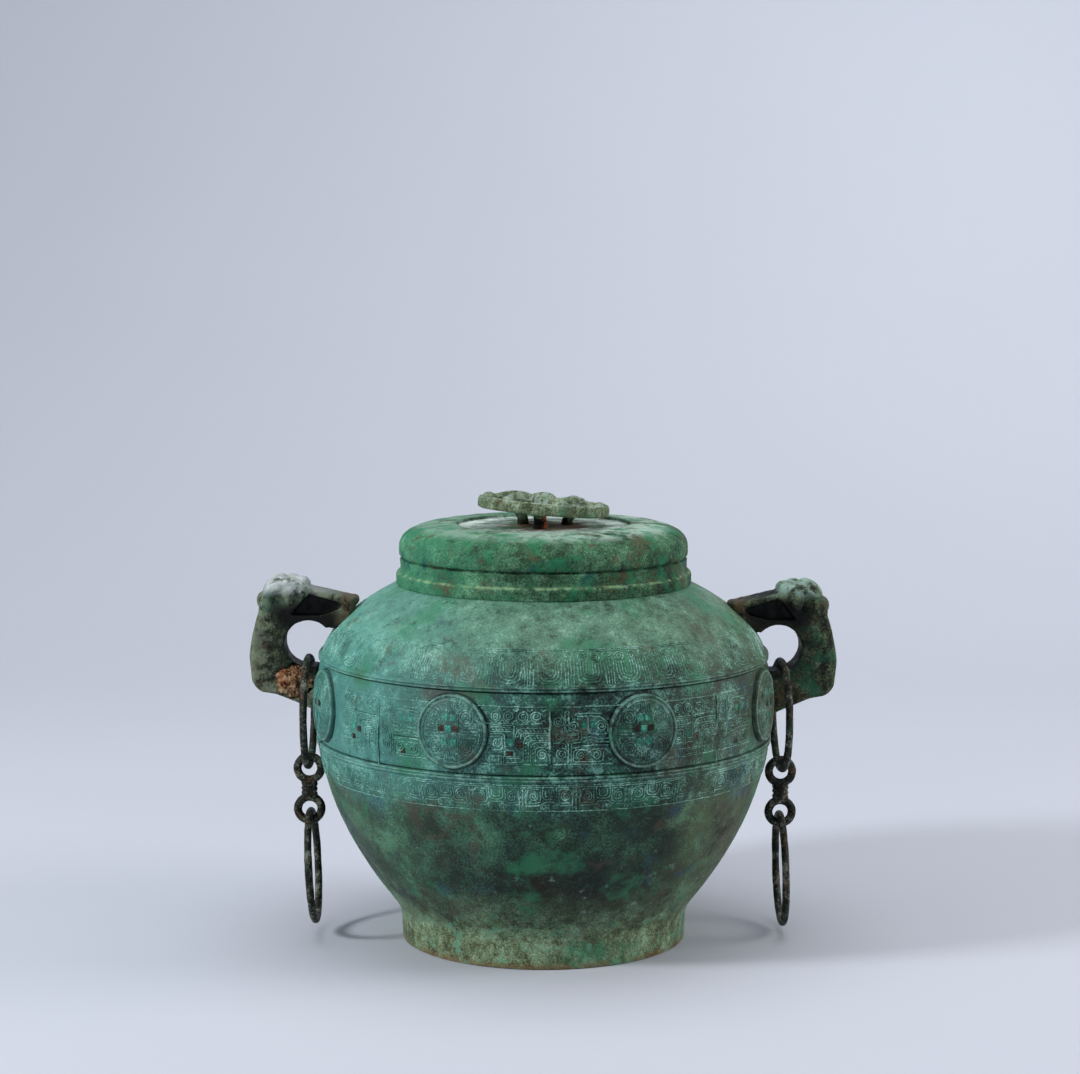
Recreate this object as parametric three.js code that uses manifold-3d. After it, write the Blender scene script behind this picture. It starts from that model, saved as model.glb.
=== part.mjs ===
// A bronze fou: a round-bellied lidded jar on a ring foot, with two beast-headed handles,
// a chain on each handle and an openwork knob on the lid.
// Millimetres, +Z up. The origin is the centre of the ring foot's underside, the handles lie along X,
// and the front is -Y.

import * as THREE from 'three';
import { mergeVertices } from 'three/addons/utils/BufferGeometryUtils.js';
import Module from 'manifold-3d';

const wasm = await Module();
wasm.setup();

// Fits
const FIT_GAP = 0.3;             // left between two pieces that touch

// Jar
const FOOT_RADIUS = 133;         // outside of the ring foot
const FOOT_HEIGHT = 30;          // underside to the crease below the belly
const FOOT_WALL = 8;
const FOOT_CHAMFER = 1.5;        // the foot's lower edge is worn round
const FOOT_HOLLOW = 24;          // depth of the hollow under the jar
const BELLY_RADIUS = 212.5;
const BELLY_RISE = 192;          // from the crease up to the widest place
const BELLY_FULLNESS = 2.05;     // power of the curve from the foot out to the belly
const SHOULDER_RISE = 120;       // from the widest place up to the neck
const SHOULDER_FULLNESS = 3;     // power of the curve from the belly in to the neck
const NECK_RADIUS = 118;
const NECK_HEIGHT = 31;
const LIP_ROUND = 1.5;
const JAR_WALL = 5;

// Relief on the jar
const BAND_BELOW = 30;           // from the widest place down to the belly band's lower line
const BAND_ABOVE = 43;           // from the widest place up to its upper line
const FILLET_WIDTH = 5;
const FILLET_RISE = 1.4;
const FILLET_BEVEL = 1;
const BAND_RECESS = 1.2;         // the belly band lies this far back between the fillets
const MEDALLION_COUNT = 8;
const MEDALLION_RADIUS = 31.5;
const MEDALLION_RISE = 2.2;      // crest of the medallion's outer ring above the band
const MEDALLION_RING = 3.5;      // width of that ring
const MEDALLION_GROOVE = 1.3;    // depth of the groove inside the ring
const MEDALLION_ROOT = 2.5;      // how far its root reaches into the wall

// Lid
const LID_PLAY = 11;             // free space between the neck and the lid's waist
const LID_WALL = 4;
const LID_RIM_OUT = 4;           // the rim band stands out this far from the waist
const LID_RIM_HEIGHT = 10.5;
const LID_RIM_BEVEL = 2;
const LID_HEADROOM = 9.5;        // free space between the mouth and the lid
const LID_WELL_DEPTH = 3;        // shallow round well in the lid's top
const LID_WELL_RADIUS = 80;
const LID_CREST_WIDTH = 4;       // level ring round the well
const LID_CUSHION_OUT = 1.2;     // the cushion bulges this far over the waist
const LID_CUSHION_DEPTH = 23.5;  // from the crest down to the cushion's widest place
const LID_GROOVE_DEPTH = 30.5;   // from the crest down to the groove under the cushion
const LID_GROOVE_CUT = 1;
const LID_CUSHION_ROUND = 0.78;  // 1 is a quarter ellipse, less is squarer

// Knob
const KNOB_RADIUS = 62;
const KNOB_THICKNESS = 9.5;
const KNOB_FLARE = 2.5;          // the plate's edges are slanted by this much
const KNOB_CLEAR = 10;           // from the lid's crest up to the plate's middle
const KNOB_TILT_RIGHT = 4.9;     // degrees, right side down
const KNOB_TILT_FRONT = 2.2;     // degrees, front up
const KNOB_RIM = 13;             // width of the plate's outer ring
const KNOB_HUB_RADIUS = 17;
const KNOB_BAR = 9;              // width of the coiled bodies between the openings
const KNOB_POSTS = 3;
const KNOB_SWEEP = 33;           // degrees that each coiled body turns on its way out
const KNOB_POST_CIRCLE = 24;
const KNOB_POST_RADIUS = 4.2;
const KNOB_POST_LEAN = 0.32;     // the posts' tops stand this share further out than their feet
const KNOB_COIL_RISE = 4.5;      // the coiled bodies arch this far over the plate
const KNOB_COIL_LENGTH = 17;     // half the length of each arch
const KNOB_COIL_SLANT = 45;      // degrees

// Handles
const FINGER_RADIUS = 21.5;      // round finger hole
const FINGER_OUT = 5.8;          // its middle lies this far outside the belly's widest place
const FINGER_RISE = 54;          // and this far above it
const HANDLE_LIFT = 3;           // the left handle sits this much higher, the right one lower
const HANDLE_WIDTH = 36;         // across the bar, along Y
const HANDLE_ROUND = 9;          // how far in from each side the bar's edges are rounded
const HANDLE_EDGE = 4.5;         // how deep that rounding goes
const GRIP = 33.2;               // thickness of the upright bar outside the finger hole
const UPPER_BAR = 30.5;          // thickness of the upper bar over the finger hole
const UPPER_BAR_FALL = 10;       // its top falls this much towards the shoulder
const LOWER_BAR = 24.5;          // thickness of the lower bar at its outer corner
const LOWER_BAR_FALL = 23;       // its underside falls this much towards the belly
const HEAD_WIDTH = 46;
const HEAD_ROUND = 5;            // how far in from each side the edges of the head are rounded
const HEAD_EDGE = 2.8;
const HEAD_RISE = 8.5;           // the beast's head stands this far above the upper bar
const SNOUT_STEP = 8;            // the snout's blunt end starts this far below the bar's top
const CHEEK_DROP = 26;           // from the top of the head down to its cheek
const POCKET_DEPTH = 7;          // hollow in each side of the upper bar
const POCKET_RIM = 5;
const EAR_RADIUS = 9;

// Chains
const RING_OUTSIDE = 110;
const RING_WIRE = 7;
const CHAIN_OUT = 8.5;           // the chains hang this far outside the belly's widest place
const CHAIN_SWAY = 1.8;          // the right chain hangs this much further out, the left one nearer
const EYE_OUTSIDE = 28;
const EYE_WIRE = 7.2;
const EYE_SPACING = 36.5;
const WAIST_RADIUS = 4.6;
const COLLAR_RADIUS = 7.6;

// Facets
const ROUND_STEPS = 36;          // round the jar and the lid
const BOSS_STEPS = 12;           // round a medallion
const RING_STEPS = 20;
const EYE_STEPS = 12;
const WIRE_STEPS = 6;
const CURVE_STEPS = 8;

// Heights and distances that follow from the sizes above
const BELLY_HEIGHT = FOOT_HEIGHT + BELLY_RISE;
const SHOULDER_TOP = BELLY_HEIGHT + SHOULDER_RISE;
const NECK_TOP = SHOULDER_TOP + NECK_HEIGHT;
const LOWER_FILLET = BELLY_HEIGHT - BAND_BELOW;
const UPPER_FILLET = BELLY_HEIGHT + BAND_ABOVE;
const BAND_MIDDLE = (LOWER_FILLET + UPPER_FILLET) / 2;
const LID_WAIST_RADIUS = NECK_RADIUS + LID_PLAY + LID_WALL;
const LID_RADIUS = LID_WAIST_RADIUS + LID_RIM_OUT;
const LID_CUSHION_RADIUS = LID_WAIST_RADIUS + LID_CUSHION_OUT;
const LID_CREST_RADIUS = LID_WELL_RADIUS + LID_CREST_WIDTH;
const LID_WELL_FLOOR = NECK_TOP + LID_HEADROOM + LID_WALL;
const LID_CREST_HEIGHT = LID_WELL_FLOOR + LID_WELL_DEPTH;
const LID_CUSHION_HEIGHT = LID_CREST_HEIGHT - LID_CUSHION_DEPTH;
const LID_WAIST_TOP = LID_CREST_HEIGHT - LID_GROOVE_DEPTH;
const KNOB_HEIGHT = LID_CREST_HEIGHT + KNOB_CLEAR;
const KNOB_BARS = 2 * KNOB_POSTS;
const FINGER_REACH = BELLY_RADIUS + FINGER_OUT;
const FINGER_HEIGHT = BELLY_HEIGHT + FINGER_RISE;
const HANDLE_REACH = FINGER_REACH + FINGER_RADIUS + GRIP;
const HANDLE_BOTTOM = FINGER_HEIGHT - FINGER_RADIUS - LOWER_BAR;
const UPPER_BAR_END = FINGER_HEIGHT + FINGER_RADIUS + UPPER_BAR;
const SNOUT_REACH = FINGER_REACH;
const HANDLE_TOP = UPPER_BAR_END + HEAD_RISE;
const CHAIN_REACH = BELLY_RADIUS + CHAIN_OUT;
const RING_MIDLINE = (RING_OUTSIDE - RING_WIRE) / 2;
const EYE_MIDLINE = (EYE_OUTSIDE - EYE_WIRE) / 2;

const patina = (color, roughness) => new THREE.MeshStandardMaterial({ color, roughness, metalness: 0.35 });
const JAR_BRONZE = patina(0x4f8f80, 0.72);
const LID_BRONZE = patina(0x4d9a78, 0.74);
const HANDLE_BRONZE = patina(0x2f4a40, 0.68);
const CHAIN_BRONZE = patina(0x3b3a30, 0.6);
const KNOB_BRONZE = patina(0x6f9078, 0.75);

const degrees = THREE.MathUtils.degToRad;
const point = (x, y) => new THREE.Vector2(x, y);

// A closed geometry as a solid that can be cut and joined.
function solid(geometry) {
  geometry.deleteAttribute('normal');
  geometry.deleteAttribute('uv');
  const merged = mergeVertices(geometry, 1e-4);
  const corners = [];
  const index = merged.index.array;
  for (let i = 0; i < index.length; i += 3) {
    const [a, b, c] = index.slice(i, i + 3);
    if (a !== b && b !== c && c !== a) corners.push(a, b, c);
  }
  return new wasm.Manifold(new wasm.Mesh({
    numProp: 3,
    vertProperties: new Float32Array(merged.attributes.position.array),
    triVerts: new Uint32Array(corners),
  }));
}

// A solid back as a named mesh.
function piece(name, body, material) {
  const { vertProperties, triVerts } = body.getMesh();
  const geometry = new THREE.BufferGeometry();
  geometry.setAttribute('position', new THREE.BufferAttribute(vertProperties, 3));
  geometry.setIndex(new THREE.BufferAttribute(triVerts, 1));
  geometry.computeVertexNormals();
  const mesh = new THREE.Mesh(geometry, material);
  mesh.name = name;
  return mesh;
}

// An outline of [radius, height] points turned round the Z axis.
function turned(outline, steps = ROUND_STEPS) {
  return new THREE.LatheGeometry(outline.map(([r, z]) => point(r, z)), steps).rotateX(Math.PI / 2);
}

// Points of a curve given as a function of 0 to 1.
function along(curve, steps) {
  return Array.from({ length: steps + 1 }, (_, i) => curve(i / steps));
}

// The plain outside of the jar, without its relief: radius at a height.
function jarRadius(z) {
  if (z < BELLY_HEIGHT) {
    const below = (BELLY_HEIGHT - z) / (BELLY_HEIGHT - FOOT_HEIGHT);
    return BELLY_RADIUS - (BELLY_RADIUS - FOOT_RADIUS) * below ** BELLY_FULLNESS;
  }
  const above = (z - BELLY_HEIGHT) / (SHOULDER_TOP - BELLY_HEIGHT);
  return BELLY_RADIUS - (BELLY_RADIUS - NECK_RADIUS) * above ** SHOULDER_FULLNESS;
}

// The height at which the shoulder has a radius.
function shoulderHeight(r) {
  const share = (BELLY_RADIUS - r) / (BELLY_RADIUS - NECK_RADIUS);
  return BELLY_HEIGHT + (SHOULDER_TOP - BELLY_HEIGHT) * share ** (1 / SHOULDER_FULLNESS);
}

// A stretch of the jar's surface from one height to another, moved out by a distance.
function jarSurface(from, to, out, steps) {
  return along((t) => {
    const z = from + (to - from) * t;
    const slope = (jarRadius(z + FILLET_BEVEL) - jarRadius(z - FILLET_BEVEL)) / (2 * FILLET_BEVEL);
    const length = Math.hypot(1, slope);
    return [jarRadius(z) + out / length, z - (out * slope) / length];
  }, steps);
}

// One raised line round the belly, with the recessed band above it (side 1) or below it (side -1).
function fillet(height, side) {
  const edge = (dz, rise) => [jarRadius(height) + rise, height - side * dz];
  const points = [
    edge(FILLET_WIDTH, 0),
    edge(FILLET_WIDTH - FILLET_BEVEL, FILLET_RISE),
    edge(FILLET_BEVEL, FILLET_RISE),
    edge(0, -BAND_RECESS),
  ];
  return side > 0 ? points : points.reverse();
}

function jarOutline() {
  const footInside = FOOT_RADIUS - FOOT_WALL;
  const floor = FOOT_HOLLOW + JAR_WALL;
  const upperBand = (BELLY_HEIGHT + UPPER_FILLET) / 2;
  const inside = jarSurface(SHOULDER_TOP - JAR_WALL, FOOT_HEIGHT + JAR_WALL, -JAR_WALL, CURVE_STEPS - 2)
    .filter(([r, z]) => r > NECK_RADIUS - JAR_WALL && z > floor && z < SHOULDER_TOP - JAR_WALL / 2);
  return [
    [0, FOOT_HOLLOW],
    [footInside, FOOT_HOLLOW],
    [footInside, 0],
    [FOOT_RADIUS - FOOT_CHAMFER, 0],
    [FOOT_RADIUS, FOOT_HEIGHT / 3],
    ...jarSurface(FOOT_HEIGHT, LOWER_FILLET - 1.5 * FILLET_WIDTH, 0, CURVE_STEPS),
    ...fillet(LOWER_FILLET, 1),
    [jarRadius(BELLY_HEIGHT) - BAND_RECESS, BELLY_HEIGHT],
    [jarRadius(upperBand) - BAND_RECESS, upperBand],
    ...fillet(UPPER_FILLET, -1),
    ...jarSurface(UPPER_FILLET + 1.5 * FILLET_WIDTH, SHOULDER_TOP, 0, CURVE_STEPS - 1),
    [NECK_RADIUS, NECK_TOP - LIP_ROUND],
    [NECK_RADIUS - LIP_ROUND, NECK_TOP],
    [NECK_RADIUS - JAR_WALL, NECK_TOP],
    [NECK_RADIUS - JAR_WALL, SHOULDER_TOP - JAR_WALL / 2],
    ...inside,
    [footInside - FOOT_WALL / 2, floor],
    [0, floor],
  ];
}

// A round boss that follows the belly's curve: an outer ring, a groove and a low dome.
function medallion(turn) {
  const sag = (r) => (r * r) / (2 * BELLY_RADIUS);
  const seat = jarRadius(BAND_MIDDLE) - BAND_RECESS;
  const at = (r, rise) => [r, rise + BAND_RECESS - sag(r)];
  const grooveRadius = MEDALLION_RADIUS - MEDALLION_RING;
  const outline = [
    [0, -MEDALLION_ROOT - sag(MEDALLION_RADIUS)],
    [MEDALLION_RADIUS, -MEDALLION_ROOT - sag(MEDALLION_RADIUS)],
    at(MEDALLION_RADIUS, MEDALLION_RISE),
    at(grooveRadius, MEDALLION_RISE - MEDALLION_GROOVE),
    at(grooveRadius - MEDALLION_RING, MEDALLION_RISE - MEDALLION_GROOVE / 2),
    [0, MEDALLION_RISE + BAND_RECESS],
  ];
  const boss = new THREE.LatheGeometry(outline.map(([r, h]) => point(r, h)), BOSS_STEPS);
  boss.translate(0, seat, 0).rotateZ(turn + Math.PI);
  return solid(boss.translate(0, 0, BAND_MIDDLE));
}

function vesselBody() {
  let jar = solid(turned(jarOutline()));
  for (let i = 0; i < MEDALLION_COUNT; i += 1) {
    jar = jar.add(medallion(((i + 0.5) * 2 * Math.PI) / MEDALLION_COUNT));
  }
  return jar;
}

// The lid's outside over the cushion, from its widest place to the crest.
function cushion(out, steps) {
  const reach = LID_CUSHION_RADIUS - LID_CREST_RADIUS;
  const rise = LID_CREST_HEIGHT - LID_CUSHION_HEIGHT;
  return along((t) => {
    const angle = (t * Math.PI) / 2;
    const r = LID_CREST_RADIUS + reach * Math.cos(angle) ** LID_CUSHION_ROUND;
    const z = LID_CUSHION_HEIGHT + rise * Math.sin(angle) ** LID_CUSHION_ROUND;
    return [r - out * Math.cos(angle), z - out * Math.sin(angle)];
  }, steps);
}

function lidOutline() {
  const rimInside = LID_RADIUS - LID_WALL;
  const rimTop = shoulderHeight(LID_RADIUS) + FIT_GAP + LID_RIM_HEIGHT;
  const wellUnder = LID_WELL_FLOOR - LID_WALL;
  const waistInside = LID_WAIST_RADIUS - LID_WALL;
  return [
    [0, wellUnder],
    [LID_WELL_RADIUS, wellUnder],
    ...cushion(LID_WALL, CURVE_STEPS - 4).reverse().slice(1),
    [waistInside, LID_WAIST_TOP],
    [waistInside, rimTop - LID_WALL / 2],
    [rimInside, rimTop - LID_WALL],
    [rimInside, shoulderHeight(rimInside) + FIT_GAP],
    [LID_RADIUS, shoulderHeight(LID_RADIUS) + FIT_GAP],
    [LID_RADIUS, rimTop - LID_RIM_BEVEL / 2],
    [LID_WAIST_RADIUS, rimTop + LID_RIM_BEVEL],
    [LID_WAIST_RADIUS - LID_GROOVE_CUT, (rimTop + LID_WAIST_TOP) / 2],
    [LID_WAIST_RADIUS - LID_GROOVE_CUT / 2, LID_WAIST_TOP],
    [LID_CUSHION_RADIUS - LID_GROOVE_CUT / 2, (LID_WAIST_TOP + LID_CUSHION_HEIGHT) / 2],
    ...cushion(0, CURVE_STEPS - 2),
    [LID_WELL_RADIUS + LID_CREST_WIDTH / 2, LID_CREST_HEIGHT],
    [LID_WELL_RADIUS, LID_WELL_FLOOR],
    [0, LID_WELL_FLOOR],
  ];
}

function lid() {
  return solid(turned(lidOutline()));
}

// The direction of a coiled body's middle line at a radius of the plate.
function coilTurn(index, r) {
  const outer = KNOB_RADIUS - KNOB_RIM;
  const share = THREE.MathUtils.clamp((r - KNOB_HUB_RADIUS) / (outer - KNOB_HUB_RADIUS), 0, 1);
  return (index * 2 * Math.PI) / KNOB_BARS + degrees(KNOB_SWEEP) * Math.sin((share * Math.PI) / 2);
}

// One opening of the knob's plate: the curved gap between two coiled bodies.
function knobOpening(index) {
  const edge = (body, side, t) => {
    const r = KNOB_HUB_RADIUS + (KNOB_RADIUS - KNOB_RIM - KNOB_HUB_RADIUS) * t;
    const angle = coilTurn(body, r) + (side * KNOB_BAR) / 2 / r;
    return point(r * Math.cos(angle), r * Math.sin(angle));
  };
  const first = along((t) => edge(index, 1, t), 2);
  const second = along((t) => edge(index + 1, -1, t), 2).reverse();
  return new THREE.Path([...first, ...second]);
}

// Places a point of the level plate on the tilted one.
function knobTilt(body) {
  return body
    .rotate([-KNOB_TILT_FRONT, KNOB_TILT_RIGHT, 0])
    .translate([0, 0, KNOB_HEIGHT]);
}

// Height of the tilted plate's underside at a place on the lid.
function knobUnderside(x, y) {
  return KNOB_HEIGHT - x * Math.tan(degrees(KNOB_TILT_RIGHT)) - y * Math.tan(degrees(KNOB_TILT_FRONT));
}

function knobPost(index) {
  const outward = 1 + KNOB_POST_LEAN;
  const turn = coilTurn(2 * index, KNOB_POST_CIRCLE * outward);
  const x = KNOB_POST_CIRCLE * Math.cos(turn);
  const y = KNOB_POST_CIRCLE * Math.sin(turn);
  const foot = LID_WELL_FLOOR + FIT_GAP;
  const top = knobUnderside(x, y) + KNOB_THICKNESS / 2;
  const path = new THREE.CatmullRomCurve3([
    new THREE.Vector3(x, y, foot),
    new THREE.Vector3(x, y, foot + (top - foot) / 3),
    new THREE.Vector3(x * outward, y * outward, top),
  ]);
  const section = new THREE.Shape(along((t) => {
    const angle = t * 2 * Math.PI;
    return point(KNOB_POST_RADIUS * Math.cos(angle), KNOB_POST_RADIUS * Math.sin(angle));
  }, WIRE_STEPS).slice(0, WIRE_STEPS));
  return solid(new THREE.ExtrudeGeometry(section, { steps: 3, extrudePath: path }));
}

// The arched back of one coiled body, lying across the plate's rim.
function knobCoil(index) {
  const middle = (KNOB_HUB_RADIUS + KNOB_RADIUS) / 2 + KNOB_FLARE;
  const sunk = KNOB_THICKNESS / 4;
  const arch = new THREE.SphereGeometry(1, 6, 4);
  arch.rotateX(Math.PI / 2).scale(KNOB_COIL_LENGTH, KNOB_BAR / 2, KNOB_COIL_RISE + sunk);
  arch.rotateZ(degrees(KNOB_COIL_SLANT)).translate(middle, 0, KNOB_THICKNESS - sunk);
  return solid(arch.rotateZ(coilTurn(index, middle)));
}

function lidKnob() {
  const disc = new THREE.Shape().absarc(0, 0, KNOB_RADIUS - KNOB_FLARE, 0, 2 * Math.PI);
  for (let i = 0; i < KNOB_BARS; i += 1) {
    disc.holes.push(knobOpening(i));
  }
  const plate = new THREE.ExtrudeGeometry(disc, {
    depth: KNOB_THICKNESS - 2 * KNOB_FLARE,
    bevelThickness: KNOB_FLARE,
    bevelSize: KNOB_FLARE,
    bevelSegments: 1,
    curveSegments: CURVE_STEPS + 2,
  });
  let top = solid(plate.translate(0, 0, KNOB_FLARE));
  for (let i = 0; i < KNOB_BARS; i += 1) {
    top = top.add(knobCoil(i));
  }
  let knob = knobTilt(top);
  for (let i = 0; i < KNOB_POSTS; i += 1) {
    knob = knob.add(knobPost(i));
  }
  return knob;
}

// A flat outline in the XZ plane, as thick as its width along Y, with its edges rounded off.
function slab(shape, width, round, edge) {
  const depth = width - 2 * round;
  const body = new THREE.ExtrudeGeometry(shape, {
    depth,
    bevelThickness: round,
    bevelSize: edge,
    bevelOffset: -edge,
    bevelSegments: 1,
    curveSegments: CURVE_STEPS - 2,
  });
  return solid(body.translate(0, 0, -depth / 2).rotateX(Math.PI / 2));
}

// The C-shaped bar, from the shoulder out under the head and back to the belly.
function handleBar() {
  const inTheJar = FINGER_REACH - 2 * FINGER_RADIUS;
  const lowerRoot = FINGER_REACH - FINGER_RADIUS;
  const outer = HANDLE_REACH;
  const under = FINGER_HEIGHT - FINGER_RADIUS;
  const shape = new THREE.Shape();
  shape.moveTo(inTheJar, UPPER_BAR_END - UPPER_BAR_FALL);
  shape.lineTo(SNOUT_REACH, UPPER_BAR_END);
  shape.lineTo(outer - GRIP / 2, UPPER_BAR_END);
  shape.quadraticCurveTo(outer - GRIP / 8, FINGER_HEIGHT + FINGER_RADIUS, outer, FINGER_HEIGHT - GRIP / 3);
  shape.lineTo(outer - GRIP / 16, HANDLE_BOTTOM + LOWER_BAR / 2);
  shape.quadraticCurveTo(outer - GRIP / 5, HANDLE_BOTTOM, outer - GRIP / 2, HANDLE_BOTTOM);
  shape.lineTo(outer - 0.75 * GRIP, HANDLE_BOTTOM - LOWER_BAR_FALL / 12);
  shape.lineTo(lowerRoot, HANDLE_BOTTOM - LOWER_BAR_FALL);
  shape.lineTo(lowerRoot, under);
  shape.lineTo(FINGER_REACH, under);
  shape.absarc(FINGER_REACH, FINGER_HEIGHT, FINGER_RADIUS, -Math.PI / 2, 0.75 * Math.PI);
  shape.lineTo(inTheJar, FINGER_HEIGHT + FINGER_RADIUS / 2);
  return slab(shape, HANDLE_WIDTH, HANDLE_ROUND, HANDLE_EDGE);
}

// The beast's head that bites the bar.
function beastHead() {
  const jaw = UPPER_BAR_END - SNOUT_STEP;
  const cheek = HANDLE_TOP - CHEEK_DROP;
  const back = HANDLE_REACH - GRIP / 3;
  const brow = SNOUT_REACH + 2 * EAR_RADIUS;
  const shape = new THREE.Shape();
  shape.moveTo(SNOUT_REACH, jaw);
  shape.lineTo(SNOUT_REACH, HANDLE_TOP - SNOUT_STEP);
  shape.quadraticCurveTo(SNOUT_REACH + HEAD_ROUND, HANDLE_TOP, brow, HANDLE_TOP);
  shape.quadraticCurveTo(back - HEAD_RISE, HANDLE_TOP, back - HEAD_ROUND / 2, (HANDLE_TOP + cheek) / 2);
  shape.lineTo(back + HEAD_ROUND / 2, cheek - HEAD_ROUND / 2);
  shape.lineTo(back - HEAD_RISE, cheek);
  shape.lineTo(back - 1.5 * HEAD_RISE, jaw);
  return slab(shape, HEAD_WIDTH, HEAD_ROUND, HEAD_EDGE);
}

// The hollow in each side of the upper bar, inside a rim that follows the finger hole.
function pocket(side) {
  const rim = FINGER_HEIGHT + FINGER_RADIUS + POCKET_RIM;
  const root = FINGER_REACH - 1.55 * FINGER_RADIUS;
  const shape = new THREE.Shape();
  shape.moveTo(SNOUT_REACH, UPPER_BAR_END - POCKET_RIM);
  shape.lineTo(FINGER_REACH + 0.75 * FINGER_RADIUS, rim);
  shape.lineTo(FINGER_REACH - 0.5 * FINGER_RADIUS, rim);
  shape.lineTo(root + POCKET_RIM, rim + POCKET_RIM);
  shape.lineTo(root, UPPER_BAR_END - UPPER_BAR_FALL - POCKET_RIM);
  const cutter = new THREE.ExtrudeGeometry(shape, { depth: HANDLE_WIDTH, bevelEnabled: false });
  const start = HANDLE_WIDTH / 2 - POCKET_DEPTH;
  return solid(cutter.rotateX(Math.PI / 2).translate(0, side > 0 ? start + HANDLE_WIDTH : -start, 0));
}

function ear(side) {
  const lump = new THREE.SphereGeometry(EAR_RADIUS, 6, 4);
  const x = SNOUT_REACH + 1.8 * EAR_RADIUS;
  lump.scale(0.75, 0.5, 1).translate(x, (side * HEAD_WIDTH) / 2, HANDLE_TOP - 2 * EAR_RADIUS);
  return solid(lump);
}

// The jar's outside with the fitting gap, for cutting what is joined to it.
function jarEnvelope() {
  const low = HANDLE_BOTTOM - 2 * LOWER_BAR_FALL;
  return solid(turned([
    [0, low],
    ...jarSurface(low, SHOULDER_TOP, FIT_GAP, 3 * CURVE_STEPS),
    [0, SHOULDER_TOP],
  ]));
}

// The handle, raised or lowered by its lift before it is fitted to the jar.
function handle(lift) {
  let bar = handleBar().add(beastHead());
  for (const side of [-1, 1]) {
    bar = bar.subtract(pocket(side)).add(ear(side));
  }
  return bar.translate([0, 0, lift]).subtract(jarEnvelope());
}

// The height of a ring's middle when it hangs on the lower bar, at a distance from the axis.
function upperRingHeight(reach) {
  const nest = FINGER_RADIUS - RING_WIRE / 2 - FIT_GAP;
  const wireLow = FINGER_HEIGHT - Math.sqrt(nest ** 2 - (reach - FINGER_REACH) ** 2) - RING_WIRE / 2;
  const inside = RING_MIDLINE * Math.cos(Math.PI / RING_STEPS) - RING_WIRE / 2;
  const flat = HANDLE_WIDTH / 2 - HANDLE_ROUND;
  const onFlat = wireLow - Math.sqrt(inside ** 2 - flat ** 2);
  const onEdge = wireLow - HANDLE_EDGE - Math.sqrt(inside ** 2 - (HANDLE_WIDTH / 2) ** 2);
  return Math.max(onFlat, onEdge) + FIT_GAP;
}

// How far a wire's middle hangs off the middle of the eye that it runs through.
function eyeSlack() {
  return EYE_MIDLINE * Math.cos(Math.PI / EYE_STEPS) - EYE_WIRE / 2 - RING_WIRE / 2 - FIT_GAP;
}

// A ring that hangs in the YZ plane, so the chain shows it edge on from the front.
function hangingRing(reach, height) {
  const ring = new THREE.TorusGeometry(RING_MIDLINE, RING_WIRE / 2, WIRE_STEPS, RING_STEPS);
  return solid(ring.rotateZ(Math.PI / RING_STEPS).rotateY(Math.PI / 2).translate(reach, 0, height));
}

// Two eyes joined by a collared waist.
function eyeLink(reach, upperEye) {
  const lowerEye = upperEye - EYE_SPACING;
  const middle = (upperEye + lowerEye) / 2;
  const half = EYE_SPACING / 2 - EYE_MIDLINE;
  const waist = turned([
    [0, middle - half],
    [WAIST_RADIUS, middle - half],
    [COLLAR_RADIUS, middle - half / 2],
    [WAIST_RADIUS, middle],
    [COLLAR_RADIUS, middle + half / 2],
    [WAIST_RADIUS, middle + half],
    [0, middle + half],
  ], 8).translate(reach, 0, 0);
  let link = solid(waist);
  for (const height of [upperEye, lowerEye]) {
    const eye = new THREE.TorusGeometry(EYE_MIDLINE, EYE_WIRE / 2, WIRE_STEPS, EYE_STEPS);
    link = link.add(solid(eye.rotateX(Math.PI / 2).translate(reach, 0, height)));
  }
  return link;
}

const vessel = new THREE.Group();
vessel.add(piece('vessel_body', vesselBody(), JAR_BRONZE));
vessel.add(piece('lid', lid(), LID_BRONZE));
vessel.add(piece('lid_knob', lidKnob(), KNOB_BRONZE));

// The two sides are alike but for their height: the left one is the right one turned half round.
for (const [side, lift, sway, turn] of [
  ['right', -HANDLE_LIFT, CHAIN_SWAY, 0],
  ['left', HANDLE_LIFT, -CHAIN_SWAY, Math.PI],
]) {
  const reach = CHAIN_REACH + sway;
  const upperRing = upperRingHeight(reach) + lift;
  const upperEye = upperRing - RING_MIDLINE - eyeSlack();
  const lowerRing = upperEye - EYE_SPACING - eyeSlack() - RING_MIDLINE;
  const half = new THREE.Group();
  half.add(piece(`handle_${side}`, handle(lift), HANDLE_BRONZE));
  half.add(piece(`upper_ring_${side}`, hangingRing(reach, upperRing), CHAIN_BRONZE));
  half.add(piece(`eye_link_${side}`, eyeLink(reach, upperEye), CHAIN_BRONZE));
  half.add(piece(`lower_ring_${side}`, hangingRing(reach, lowerRing), CHAIN_BRONZE));
  half.rotation.z = turn;
  vessel.add(half);
}

export default vessel;
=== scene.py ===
# %% [markdown]
# # A bronze fou
#
# A fou is a big round jar for water. This one was cast in bronze in section moulds, and it carries
# bands of fine serpent relief, eight round medallions, two handles shaped as a beast's head,
# two short chains of rings and a lid with an openwork knob. It lay in the ground for a long time,
# so everything is under green, brown and blue corrosion.
#
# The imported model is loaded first. Every piece below is made around it, in metres.

# %% Load the frame
import math
from dataclasses import dataclass

import bpy
import numpy as np
from mathutils import Matrix, Vector, noise


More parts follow.
